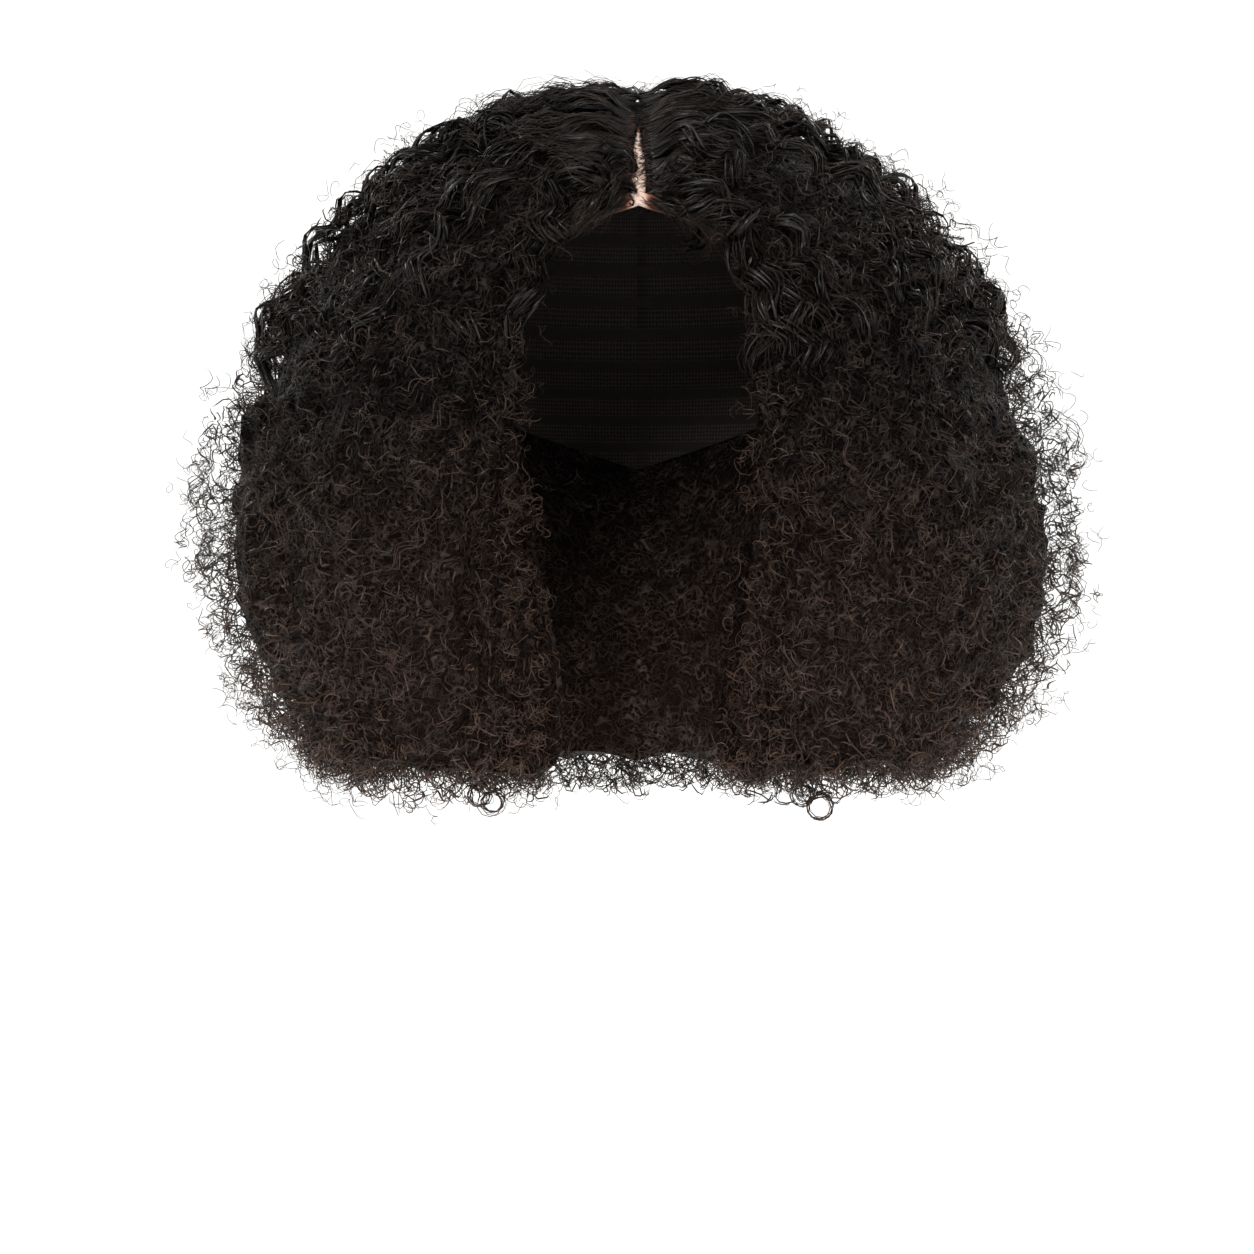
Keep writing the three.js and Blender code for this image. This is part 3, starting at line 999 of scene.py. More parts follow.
    def mass_of(self, points: np.ndarray, mass: Mass) -> np.ndarray:
        """Tells which points belong to a mass.

        Args:
            points: the points.
            mass: the mass.

        Returns:
            Whether each point does.
        """
        behind = points[..., 1] > self.back_split
        if mass is Mass.BACK:
            return behind
        return ~behind & ((points[..., 0] < 0) == (mass is Mass.LEFT))

    def scatter(
        self, chance: np.random.Generator, count: int, fall: Span, skin: Skin
    ) -> tuple[np.ndarray, np.ndarray]:
        """Picks places by area, closer together where an outline is seen from the front.

        Args:
            chance: random generator.
            count: number of places.
            fall: range of v.
            skin: face of the hair; on the inner one, places under the cap are left out.

        Returns:
            u and v of the places.
        """
        across, down = self.scan_around, self.scan_down
        high, low = fall
        columns = (np.arange(across) + 0.5) / across
        rows = high + (low - high) * (np.arange(down) + 0.5) / down
        u, v = np.meshgrid(columns, rows, indexing="ij")
        here = self.frame(u, v, skin)
        outside = self.points(u, np.ones_like(v) if skin is Skin.UNDER else v)
        clear = self.hollow.ratio(outside, self.seat) - 1
        area = here.wide * here.tall * (clear > self.face_clear[0])
        area = area * (self.front_share + self.edge_share * (1 - np.abs(here.out[..., 1])) ** 2)
        if skin is Skin.OUTER:
            dense = smooth_step(v, *self.dense_fall)
            thinning = self.back_thinning * smooth_step(here.at[..., 1], self.back_split, self.thin_end)
            area = area * (1 + self.hem_share * dense) * (1 - thinning * (1 - dense))
            area = area * (1 + self.face_share * (1 - smooth_step(clear, *self.face_clear)))
        if skin is Skin.INNER:
            azimuth = np.arctan2(here.at[..., 0], -here.at[..., 1])
            area = area * (-here.at[..., 2] > self.hollow.rim(azimuth) - self.rim_overlap)
        picked = chance.choice(area.size, count, p=area.ravel() / area.sum())
        shake = chance.random((2, count)) - 0.5
        return u.ravel()[picked] + shake[0] / across, v.ravel()[picked] + shake[1] * (low - high) / down


@dataclass
class Strands:
    """A bundle of strands: their paths, the way their flat side faces, their sizes and tones."""

    paths: np.ndarray
    facing: np.ndarray
    width: np.ndarray
    tone: np.ndarray
    flatness: float
    section: Section
    blunt: float = 0.35
    side_tone: float = 0.01
    patch_apart: float = 40.0

    def chosen(self, which: np.ndarray) -> "Strands":
        """Gives the strands picked by a mask."""
        picked = {key: getattr(self, key)[which] for key in ("paths", "facing", "width", "tone")}
        return replace(self, **picked)

    def swept(self) -> MeshData:
        """Carries an oval section along every path and closes both ends to a point.

        A ring of the section stands square to the path at each step, wide across the facing and
        flat along it, and narrows towards the ends as a power of a half sine wave.

        Returns:
            One mesh of all the strands.
        """
        count, steps, _ = self.paths.shape
        sides = self.section.value
        along = unit(np.gradient(self.paths, axis=1))
        up = unit(self.facing - np.sum(self.facing * along, axis=-1, keepdims=True) * along)
        across = np.cross(up, along)
        share = np.linspace(0, 1, steps)[1:-1]
        size = self.width[:, None] / 2 * np.sin(math.pi * share) ** self.blunt
        turn = np.arange(sides) * TURN / sides
        flat = np.cos(turn)[:, None] * across[:, 1:-1, None, :]
        high = np.sin(turn)[:, None] * up[:, 1:-1, None, :] * self.flatness
        rings = self.paths[:, 1:-1, None, :] + size[:, :, None, None] * (flat + high)
        tips = self.paths[:, [0, -1]]
        vertices = np.concatenate([rings.reshape(count, -1, 3), tips], axis=1)
        each = vertices.shape[1]
        starts = (np.arange(count) * each)[:, None, None]
        quads = (grid_quads(steps - 2, sides, closed=True)[None] + starts).reshape(-1, 4)
        side = np.arange(sides)
        after = (side + 1) % sides
        last = (steps - 3) * sides
        first_fan = np.stack([np.full(sides, each - 2), after, side], axis=-1)
        last_fan = np.stack([np.full(sides, each - 1), last + side, last + after], axis=-1)
        triangles = (np.concatenate([first_fan, last_fan])[None] + starts).reshape(-1, 3)
        return MeshData(vertices.reshape(-1, 3), quads, triangles, self.map(turn, share))

    def map(self, turn: np.ndarray, share: np.ndarray) -> np.ndarray:
        """Maps the swept mesh: tone and way along a fibre, or metres across and along a lock.

        Args:
            turn: angles of the section's sides.
            share: way along a path of each ring.

        Returns:
            U and V of each vertex.
        """
        shape = (len(self.paths), len(share), len(turn))
        if self.section is Section.FIBRE:
            middle = self.tone[:, None, None]
            across = self.side_tone * np.arange(len(turn))
            down = np.broadcast_to(share, shape[:2])
            tip_down = np.broadcast_to(np.array([0.0, 1.0]), (len(self.paths), 2))
        else:
            run = run_along(self.paths)
            middle = self.tone[:, None, None] * self.patch_apart
            across = self.width[:, None, None] / 2 * np.cos(turn)
            down, tip_down = run[:, 1:-1], run[:, [0, -1]]
        u = np.broadcast_to(middle + across, shape)
        rings = np.stack([u, np.broadcast_to(down[..., None], shape)], axis=-1)
        tips = np.stack([np.repeat(middle[..., 0], 2, axis=1), tip_down], axis=-1)
        return np.concatenate([rings.reshape(len(self.paths), -1, 2), tips], axis=1).reshape(-1, 2)


@dataclass(frozen=True, kw_only=True)
class Layer:
    """A layer of strands that grow in clumps. Its lengths are in millimetres."""

    seed: int
    clumps: int
    fibres: int = 1
    steps: int
    width: Span
    section: Section = Section.FIBRE
    flatness: float = 1.0
    tone: float = 0.1
    tone_spread: float = 0.08

    @property
    def share(self) -> np.ndarray:
        """Way along a strand of each of its steps."""
        return np.linspace(0, 1, self.steps)[None, :]

    @property
    def sides(self) -> np.ndarray:
        """Right and left in turn, as 1 and -1, for each clump."""
        return np.where(np.arange(self.clumps) % 2 == 0, 1.0, -1.0)

    def each(self, shared: dict[str, np.ndarray]) -> dict[str, np.ndarray]:
        """Gives every strand of a clump what the clump shares, as columns."""
        return {key: np.repeat(value, self.fibres, axis=0)[:, None] for key, value in shared.items()}

    def strands(
        self, chance: np.random.Generator, paths: np.ndarray, facing: np.ndarray, tone: np.ndarray | float
    ) -> Strands:
        """Draws the tones and widths of strands.

        Args:
            chance: random generator.
            paths: the strands' paths.
            facing: the way their flat side faces.
            tone: their mean tones.

        Returns:
            The strands.
        """
        tones = np.clip(tone + chance.normal(0, self.tone_spread, len(paths)), 0, FAIREST_TONE)
        width = chance.uniform(*self.width, len(paths)) * MM
        return Strands(paths, facing, width, tones, self.flatness, self.section)

    def grow(self, form: HairForm) -> Strands:
        """Grows the layer on the hair's form."""
        raise NotImplementedError


@dataclass(frozen=True, kw_only=True)
class CurlLayer(Layer):
    """Curls scattered over a face of the hair.

    A strand runs along the form for its length at an angle to the fall, between a depth above the
    core and a depth above the form, and winds round that line as a coil with an uneven turn. The
    strands of a clump share the line and lie a spread apart, with bundle as its share outwards.
    """

    fall: Span
    length: Span
    coil: Span
    turns: Span
    depth: Span
    rise: Span
    heading: float
    spread: float = 0.0
    skin: Skin = Skin.OUTER
    unevenness: float = 0.9
    wobbles: float = 1.3
    wander: float = 1.2
    dive: float = 0.0
    dive_power: int = 4
    skew: float = 1.0
    bundle: float = 1.0
    jitter: float = 0.3
    coil_spread: Span = (0.8, 1.15)
    closing: float = 0.35
    slowest: float = 0.15
    widest_fall: Span = (0.01, 1.03)
    tone: float = 0.16
    end_tone: float = 0.46
    brown_fall: Span = (0.3, 0.9)
    # Strands that lie further out get a lighter tone: painted light, as the outer curls catch more of it.
    painted_outer_light: float = 0.12
    # A positive shade darkens a layer's tone as painted shade, as on the deep arcs; the fuzz's negative
    # shade lightens it as painted light at the outline.
    shade: float = 0.0
    tone_spread: float = 0.12

    def grow(self, form: HairForm) -> Strands:
        """Grows the layer on a form.

        Args:
            form: the hair's form.

        Returns:
            The layer's strands.
        """
        chance = np.random.default_rng(self.seed)
        clumps = self.clumps
        u0, v0 = form.scatter(chance, clumps, self.fall, self.skin)
        own = self.each(
            {
                "heading": chance.normal(0, self.heading, clumps),
                "length": chance.uniform(*self.length, clumps) * MM,
                "coil": chance.uniform(*self.coil, clumps) * MM,
                "turns": chance.uniform(*self.turns, clumps),
                "level": chance.random(clumps) ** self.skew,
                "rise": chance.uniform(*self.rise, clumps) * MM,
                "phase": chance.uniform(0, TURN, clumps),
                "hand": chance.choice([-1.0, 1.0], clumps),
                "u": u0,
                "v": v0,
            }
        )
        u0, v0 = own["u"], own["v"]
        count = len(u0)
        root = form.frame(u0, v0, self.skin)
        outer = self.skin is Skin.OUTER
        lowest = self.depth[0] * MM - outer * form.core_depth(v0, root.at, root.out)
        highest = self.depth[1] * MM + outer * form.bunches(v0, root.at)
        share = self.share
        run = own["length"] * (share - 0.5)
        sideways, downwards = np.sin(own["heading"]), np.cos(own["heading"])
        u = u0 + sideways * run / np.maximum(root.wide, self.slowest)
        v = v0 + downwards * run / np.maximum(root.tall, self.slowest)
        here = form.frame(u, np.clip(v, *self.widest_fall), self.skin)
        ahead = unit(sideways[..., None] * here.across + downwards[..., None] * here.down)
        aside = np.cross(here.out, ahead)
        wobble = chance.uniform(0, TURN, (count, 1))
        jitter = chance.normal(0, self.jitter, (count, 1))
        angle = own["phase"] + jitter + own["hand"] * TURN * own["turns"] * share
        angle = angle + self.unevenness * np.sin(TURN * self.wobbles * share + wobble)
        reach = own["coil"] * chance.uniform(*self.coil_spread, (count, 1)) * (1 - self.closing * share**2)
        spoke = np.cos(angle)[..., None] * here.out + np.sin(angle)[..., None] * aside
        stray = chance.normal(0, 1, (2, count, 1, 3)) * self.wander * MM
        drift = np.sin(math.pi * share + wobble)[..., None] * stray[0] + (share[..., None] - 0.5) * stray[1]
        apart = chance.normal(0, self.spread * MM, (count, 1, 2))
        bundle = self.bundle * apart[..., :1] * here.out + apart[..., 1:] * aside
        lift = lowest + own["level"] * (highest - lowest)
        lift = lift + own["rise"] * share - self.dive * MM * (2 * share - 1) ** self.dive_power
        paths = here.at + lift[..., None] * here.out + reach[..., None] * spoke + drift + bundle
        brown = self.tone + self.end_tone * smooth_step(v0, *self.brown_fall)
        # Strands further out are painted lighter, as painted light.
        tone = brown + self.painted_outer_light * own["level"] - self.shade
        return self.strands(chance, paths, spoke, tone[:, 0])


@dataclass(frozen=True, kw_only=True)
class CombedLayer(Layer):
    """Strands rooted beside the parting, combed smooth there and waved further down.

    A strand leaves the cap at the groove's edge, rises to the form and follows a fall line. Its
    wave is a coil whose size grows from nothing. The strands of a clump wave together, and layers
    with the same seed and number of clumps share them.
    """

    end: Span
    coil: Span
    wave: Span
    depth: Span
    spread: float = 0.0
    first_share: float = 0.75
    overlap: float = 0.6
    gathering: float = 0.7
    end_spread: Span = (0.9, 1.1)
    coil_spread: Span = (0.85, 1.15)
    jitter: float = 0.25
    out_share: float = 0.8
    twist: float = 0.5
    lift_start: float = 3
    smooth: float = 8
    waved: float = 34
    swirl: float = 12
    ragged: float = 0.9
    ragged_power: int = 8
    slowest: float = 0.15

    def grow(self, form: HairForm) -> Strands:
        """Grows the layer on a form.

        Args:
            form: the hair's form.

        Returns:
            The layer's strands.
        """
        chance = np.random.default_rng(self.seed)
        clumps = self.clumps
        first = form.face_u * self.first_share
        step = (form.last_u - 2 * first) / clumps
        own = self.each(
            {
                "u": first + step * (np.arange(clumps) + chance.random(clumps)),
                "end": chance.uniform(*self.end, clumps),
                "coil": chance.uniform(*self.coil, clumps) * MM,
                "wave": chance.uniform(*self.wave, clumps) * MM,
                "depth": chance.uniform(*self.depth, clumps) * MM,
                "phase": chance.uniform(0, TURN, clumps),
                "swirl": chance.normal(0, self.swirl * MM, clumps),
            }
        )
        count = clumps * self.fibres
        share = self.share
        u0 = own["u"] + chance.uniform(-self.overlap, self.overlap, (count, 1)) * step
        start = form.groove_v(u0)
        v = start + (own["end"] * chance.uniform(*self.end_spread, (count, 1)) - start) * share
        level = form.frame(u0 + 0 * v, v)
        swirl = own["swirl"] * share**2 / np.maximum(level.wide, self.slowest)
        u = u0 + (own["u"] - u0) * self.gathering * share + swirl
        here = form.frame(u, v)
        run = run_along(here.at)
        angle = TURN * run / own["wave"] + own["phase"] + chance.normal(0, self.jitter, (count, 1))
        waved = smooth_step(run, self.smooth * MM, self.waved * MM)
        reach = own["coil"] * chance.uniform(*self.coil_spread, (count, 1)) * waved
        outwards, sideways = self.out_share * np.cos(angle), np.sin(angle)
        spoke = outwards[..., None] * here.out + sideways[..., None] * here.across
        apart = chance.normal(0, self.spread * MM, (count, 1, 2)) * waved[..., None]
        lifted = own["depth"] * smooth_step(run, self.lift_start * MM, 2 * self.smooth * MM)
        raised = here.at + (lifted + apart[..., 0])[..., None] * here.out
        raised = raised + reach[..., None] * spoke + apart[..., 1:] * here.across
        lace = form.hollow.project(here.at, form.cap_wall)
        ragged = chance.uniform(0, self.ragged * MM, (count, 1)) * (1 - share) ** self.ragged_power
        paths = lace + form.risen(u, run)[..., None] * (raised - lace)
        paths[..., 0] -= ragged * np.sign(here.at[..., 0])
        return self.strands(chance, paths, here.out + self.twist * waved[..., None] * spoke, self.tone)


@dataclass(frozen=True, kw_only=True)
class HairlineLayer(Layer):
    """Strands knotted into the lace along the hairline and swept sideways and down round the face.

    A strand starts behind the rim, runs beside it away from the middle and drifts to its overhang,
    lifting off the lace as a quarter sine wave. A side wave grows along it. Azimuths are in degrees.
    """

    azimuth: Span
    behind: Span
    length: Span
    overhang: Span
    lift: Span
    sway: Span
    length_spread: Span = (0.75, 1.2)
    hang_from: float = 0.4
    hang_power: float = 1.5
    sway_grown: float = 0.7
    wave: float = 15
    jitter: float = 0.3
    rim_radius: float = 70
    spread: float = 0.8
    tone: float = 0.12

    def grow(self, form: HairForm) -> Strands:
        """Grows the layer along the hairline.

        Args:
            form: the hair's form.

        Returns:
            The layer's strands.
        """
        chance = np.random.default_rng(self.seed)
        hollow = form.hollow
        own = self.each(
            {
                "behind": chance.uniform(*self.behind, self.clumps) * MM,
                "length": chance.uniform(*self.length, self.clumps) * MM,
                "overhang": chance.uniform(*self.overhang, self.clumps) * MM,
                "lift": chance.uniform(*self.lift, self.clumps) * MM,
                "sway": chance.uniform(*self.sway, self.clumps) * MM,
                "azimuth": np.radians(chance.uniform(*self.azimuth, self.clumps)),
                "phase": chance.uniform(0, TURN, self.clumps),
                "side": self.sides,
            }
        )
        count = self.clumps * self.fibres
        share = self.share
        run = own["length"] * chance.uniform(*self.length_spread, (count, 1)) * share
        apart = chance.normal(0, self.spread * MM, (count, 1))
        azimuth = own["side"] * (own["azimuth"] + (run + apart) / (self.rim_radius * MM))
        hung = own["overhang"] * smooth_step(np.abs(azimuth), 0, self.hang_from)
        drop = hollow.rim(azimuth) - own["behind"] * (1 - share) + hung * share**self.hang_power
        base = hollow.point(azimuth, drop + chance.normal(0, self.spread * MM, (count, 1)), form.cap_wall)
        out = hollow.outward(base)
        aside = np.cross(out, unit(np.gradient(base, axis=1)))
        angle = TURN * run / (self.wave * MM) + own["phase"] + chance.normal(0, self.jitter, (count, 1))
        sway = own["sway"] * smooth_step(share, 0, self.sway_grown)
        lift = own["lift"] * np.sin(math.pi / 2 * share) + sway * (1 + np.cos(angle))
        paths = base + lift[..., None] * out + (sway * np.sin(angle))[..., None] * aside
        return self.strands(chance, paths, out, self.tone)


@dataclass(frozen=True, kw_only=True)
class PartingRoots(Layer):
    """Root ends that cross the edges of the lace strip, close together and nearly square to it."""

    seed: int = 71
    clumps: int = 620
    steps: int = 6
    front: float = -77
    back: float = -30
    begin: Span = (-1.0, 2.2)
    begin_least: float = 0.4
    begin_gain: float = 0.8
    end: Span = (3.0, 8.0)
    slant: float = 2.0
    lift: Span = (0.4, 1.4)
    width: Span = (0.16, 0.28)
    tone: float = 0.45
    tone_spread: float = 0.25

    def grow(self, form: HairForm) -> Strands:
        """Lays the roots on the lace.

        Args:
            form: the hair's form.

        Returns:
            The roots.
        """
        chance = np.random.default_rng(self.seed)
        column = (self.clumps, 1)
        share = self.share
        along = chance.uniform(self.front * MM, self.back * MM, column)
        opened = self.begin_least + self.begin_gain * form.groove_share(along)
        begin = chance.uniform(*self.begin, column) * MM * opened
        end = chance.uniform(*self.end, column) * MM
        x = self.sides[:, None] * (begin + (end - begin) * share)
        y = along + chance.normal(0, self.slant * MM, column) * share
        base = form.hollow.crown(x, y, form.cap_wall)
        out = form.hollow.outward(base)
        lift = chance.uniform(*self.lift, column) * MM * np.sin(math.pi / 2 * share)
        return self.strands(chance, base + lift[..., None] * out, out, self.tone)


@dataclass(frozen=True, kw_only=True)
class Ringlets(Layer):
    """A few round curls that hang from the hem at the front corners, clear of the mass.

    A strand goes down from the hem to the ringlet's middle while it opens into level circles that
    step slowly forward.
    """

    seed: int = 81
    clumps: int = 4
    fibres: int = 6
    steps: int = 20
    centres: tuple[tuple[float, float, float], ...] = (
        (-60.6, -62, -293),
        (-66, -58, -290),
        (74.8, -64, -295),
        (68, -58, -290),
    )
    radius: Span = (4.2, 5.4)
    radius_spread: Span = (0.85, 1.1)
    turns: float = 2.1
    pitch: float = 1.6
    root: float = 16
    jitter: float = 0.2
    opened_at: float = 0.3
    fallen_at: float = 0.4
    spread: float = 0.45
    width: Span = (0.42, 0.6)
    tone: float = 0.45
    tone_spread: float = 0.1

    def grow(self, form: HairForm) -> Strands:
        """Grows the ringlets.

        Args:
            form: the hair's form, unused because the ringlets hang free of it.

        Returns:
            The ringlets' strands.
        """
        chance = np.random.default_rng(self.seed)
        own = self.each(
            {
                "radius": chance.uniform(*self.radius, self.clumps) * MM,
                "phase": chance.uniform(0, TURN, self.clumps),
                "centre": np.array(self.centres) * MM,
            }
        )
        count = self.clumps * self.fibres
        share = self.share
        angle = own["phase"] + chance.normal(0, self.jitter, (count, 1)) + TURN * self.turns * share
        opening = smooth_step(share, 0, self.opened_at)
        opened = own["radius"] * chance.uniform(*self.radius_spread, (count, 1)) * opening
        height = self.root * MM * (1 - smooth_step(share, 0, self.fallen_at))
        forward = np.broadcast_to(-self.pitch * MM * self.turns * share, angle.shape)
        ring = np.stack([opened * np.cos(angle), forward, opened * np.sin(angle) + height], axis=-1)
        paths = own["centre"] + ring + chance.normal(0, self.spread * MM, (count, 1, 3))
        facing = np.broadcast_to(np.array([0.0, 1.0, 0.0]), paths.shape)
        return self.strands(chance, paths, facing, self.tone)


@dataclass
class HairMass:
    """One of the three masses of hair: a dark core, and the curls that grow on it."""

    mass: Mass
    form: HairForm
    columns: int = 70
    rows: int = 106
    hem_rows: int = 8
    inner_step: int = 3
    back_top: float = 0.03
    hem_lift: float = 7 * MM
    hem_uneven: float = 4 * MM
    thinnest: float = 0.12
    deepest: float = 0.7

    def core(self) -> MeshData:
        """Works out the core's surface.

        The outer rows are the form drawn in by an inset that deepens down the fall, with lumps. The
        inner rows are the form's inner wall. Past the hem both run to the middle of the underside,
        and the sheet is closed round its edge. The left mass is made as the right one's mirror
        image, with lumps of its own.

        Returns:
            The closed mesh.
        """
        form = self.form
        back = self.mass is Mass.BACK
        mirror = TO_LEFT if self.mass is Mass.LEFT else np.ones(3)
        top = self.back_top if back else 0.0
        fall = np.linspace(top, 1, self.rows)
        begin = form.back_limit(fall) if back else form.face_limit(fall)
        end = form.last_u - begin if back else form.back_limit(fall)
        u = begin[:, None] + (end - begin)[:, None] * np.linspace(0, 1, self.columns)
        start = np.zeros_like(u) if back else form.groove_v(u)
        v = start + (1 - start) * fall[:, None]
        here = form.frame(u, v)
        inner = form.inner(u, v)
        thick = np.linalg.norm(here.at - inner, axis=-1)
        inset = np.minimum(form.core_depth(v, here.at * mirror, here.out), self.deepest * thick)
        outer = here.at - inset[..., None] * here.out
        if not back:
            rise = np.maximum(form.risen(u, (v - start) * here.tall), self.thinnest)
            outer = inner + rise[..., None] * (outer - inner)
        uneven = self.hem_uneven * lumps(inner * mirror, form.lump_size, Lattice.HEM)
        inner[..., 2] += smooth_step(v, *form.hem_fall) * (self.hem_lift + uneven)
        middle = (outer[-1] + inner[-1]) / 2
        past = np.linspace(0, 1, self.hem_rows + 1)[1:, None, None]
        outer, inner = (
            np.concatenate([rows, rows[-1] + past * (middle - rows[-1])]) for rows in (outer, inner)
        )
        return self.closed(outer, inner[:-1][:: self.inner_step])

    def closed(self, outer: np.ndarray, inner: np.ndarray) -> MeshData:
        """Joins an outer sheet and a coarser inner one into one closed mesh.

        The rows run down the outer sheet and back up the inner one. At the top the last row meets
        the first, and at the sides each outer row meets the inner row at its share of the fall.

        Args:
            outer: rows of points from the top to the middle of the underside.
            inner: fewer rows from the top, without the last one, which they share.

        Returns:
            The mesh, mirrored for the left mass.
        """
        rows, columns, _ = outer.shape
        loop = np.concatenate([outer, inner[::-1]])
        total = len(loop)
        across = np.arange(columns - 1)
        last = (total - 1) * columns
        top = np.stack([last + across, last + across + 1, across + 1, across], axis=-1)
        row = np.arange(rows - 1)
        mate = total - 1 - np.arange(rows) * len(inner) // (rows - 1)
        even = (mate[1:] < mate[:-1]) & (mate[1:] > row + 1)
        band = np.stack([row, row + 1, mate[1:], mate[:-1]], axis=-1) * columns
        wedge = band[~even][:, [0, 1, 3]]
        ways = ((0, 1), (columns - 1, -1))
        ends = [(band[even] + column)[:, ::way] for column, way in ways]
        quads = np.concatenate([grid_quads(total, columns), top, *ends])
        triangles = np.concatenate([(wedge + column)[:, ::way] for column, way in ways])
        vertices = loop.reshape(-1, 3)
        uv = np.zeros((len(vertices), 2))
        if self.mass is Mass.LEFT:
            return MeshData(vertices * TO_LEFT, quads, triangles, uv)
        return MeshData(vertices, quads[:, ::-1], triangles[:, ::-1], uv)

    def build(
        self,
        layers: dict[str, Strands],
        under: bpy.types.Material,
        finishes: dict[Section, bpy.types.Material],
    ) -> list[bpy.types.Object]:
        """Builds the core and this mass's share of each layer.

        Args:
            layers: strands of the whole wig by the layer's name.
            under: finish of the core.
            finishes: finish of fibres and of locks.

        Returns:
            The pieces.
        """
        name = "hair_" + self.mass.value
        core = self.core().to_object(name + "_core", under)
        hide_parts(name)
        pieces = [core]
        for layer, strands in layers.items():
            middle = strands.paths[:, strands.paths.shape[1] // 2]
            own = strands.chosen(self.form.mass_of(middle, self.mass))
            if len(own.paths) > 0:
                pieces.append(own.swept().to_object(f"{name}_{layer}", finishes[strands.section]))
        return pieces


@dataclass
class CapAndLace:
    """The net cap, and the lace parting that is let into its front."""

    hollow: Hollow
    wall: float = 1.5 * MM
    columns: int = 96
    rows: int = 30
    dome_share: float = 0.75
    fit_gap: float = 0.4 * MM
    parting_half: float = 11 * MM
    parting_end: float = -8 * MM
    band: float = 14 * MM
    band_azimuth: float = 52.0
    band_columns: int = 49
    footprint_inside: float = 4.5 * MM
    footprint_outside: float = 6 * MM
    mean_radius: float = 86 * MM
    crease: float = 40.0

    def drops(self, share: np.ndarray, lowest: np.ndarray) -> np.ndarray:
        """Spaces rings from the crown to the rim, evenly by angle over the dome.

        Args:
            share: way from the crown to the rim.
            lowest: drop of the rim.

        Returns:
            The rings' drops.
        """
        dome = self.hollow.dome
        angle = np.arccos(1 - np.minimum(lowest, dome) / dome)
        turn = np.where(lowest > dome, self.dome_share, 1.0)
        over = dome * (1 - np.cos(np.minimum(share / turn, 1) * angle))
        past = np.maximum(share - turn, 0) / np.maximum(1 - turn, TINY)
        return over + past * np.maximum(lowest - dome, 0)

    def shell(self) -> MeshData:
        """Works out the closed wall: rings from the crown to the rim outside and back up inside.

        Returns:
            The mesh, mapped in metres round the cap and down from the crown.
        """
        hollow, columns = self.hollow, self.columns
        azimuth = np.arange(columns) * TURN / columns - math.pi
        around, way = np.meshgrid(azimuth, np.linspace(0, 1, self.rows + 1)[1:], indexing="xy")
        drop = self.drops(way, hollow.rim(around))
        outer, inner = hollow.point(around, drop, self.wall), hollow.point(around, drop, 0.0)
        rings = np.concatenate([outer, inner[::-1]]).reshape(-1, 3)
        poles = np.array([[0, 0, self.wall], [0, 0, 0]])
        side = np.arange(columns)
        after = (side + 1) % columns
        last = (2 * self.rows - 1) * columns
        crown = np.full(columns, len(rings))
        outer_fan = np.stack([side, after, crown], axis=-1)
        inner_fan = np.stack([last + after, last + side, crown + 1], axis=-1)
        over = np.arccos(1 - np.minimum(drop, hollow.dome) / hollow.dome) * self.mean_radius
        fallen = over + np.maximum(drop - hollow.dome, 0)
        uv = np.stack([around * self.mean_radius, fallen], axis=-1)
        return MeshData(
            np.concatenate([rings, poles]),
            grid_quads(2 * self.rows, columns, closed=True)[:, ::-1],
            np.concatenate([outer_fan, inner_fan]),
            np.concatenate([np.concatenate([uv, uv[::-1]]).reshape(-1, 2), np.zeros((2, 2))]),
        )

    def footprint(self, gap: float) -> MeshData:
        """Works out a closed block over the parting strip, and a closed bar over the hairline band.

        Args:
            gap: how much wider than the lace.

        Returns:
            The two solids in one mesh.
        """
        half = self.parting_half + gap
        far = 2 * self.hollow.dome
        levels, depths, widths = (-self.hollow.dome, far), (-far, self.parting_end + gap), (-half, half)
        corners = np.array([[x, y, z] for z in levels for y in depths for x in widths])
        level = [[0, 2, 3, 1], [4, 5, 7, 6]]
        upright = [[0, 1, 5, 4], [2, 6, 7, 3], [0, 4, 6, 2], [1, 3, 7, 5]]
        block = MeshData(corners, np.array(level + upright), NO_TRIANGLES, np.zeros((len(corners), 2)))
        reach = math.radians(self.band_azimuth) + gap / self.mean_radius
        azimuth = np.linspace(-1, 1, self.band_columns) * reach
        low, high = self.hollow.rim(azimuth) + self.band, self.hollow.rim(azimuth) - self.band - gap
        inside, outside = -self.footprint_inside, self.footprint_outside
        edges = ((low, inside), (high, inside), (high, outside), (low, outside))
        ring = np.stack([self.hollow.point(azimuth, drop, grow) for drop, grow in edges], axis=1)
        first = np.arange(len(edges))
        last = first + len(edges) * (len(azimuth) - 1)
        faces = np.concatenate([grid_quads(len(azimuth), len(edges), closed=True), [first[::-1], last]])
        bar = MeshData(ring.reshape(-1, 3), faces, NO_TRIANGLES, np.zeros((ring[..., 0].size, 2)))
        return block.joined(bar)

    def cut(self, name: str, gap: float, operation: str, material: bpy.types.Material) -> bpy.types.Object:
        """Cuts the shell with the footprint.

        Args:
            name: the piece's name.
            gap: how much wider than the lace the footprint is.
            operation: DIFFERENCE for the cap, INTERSECT for the lace.
            material: the piece's finish.

        Returns:
            The cut piece.
        """
        made = self.shell().to_object(name, material)
        tool = self.footprint(gap).to_object(name + "_footprint", material)
        cutter = made.modifiers.new("footprint", "BOOLEAN")
        cutter.operation = operation
        cutter.solver = "EXACT"
        cutter.use_self = True
        cutter.object = tool
        ready = made.evaluated_get(bpy.context.evaluated_depsgraph_get())
        mesh = bpy.data.meshes.new_from_object(ready)
        made.modifiers.remove(cutter)
        bpy.data.objects.remove(tool)
        made.data = mesh
        mesh.set_sharp_from_angle(angle=math.radians(self.crease))
        return made

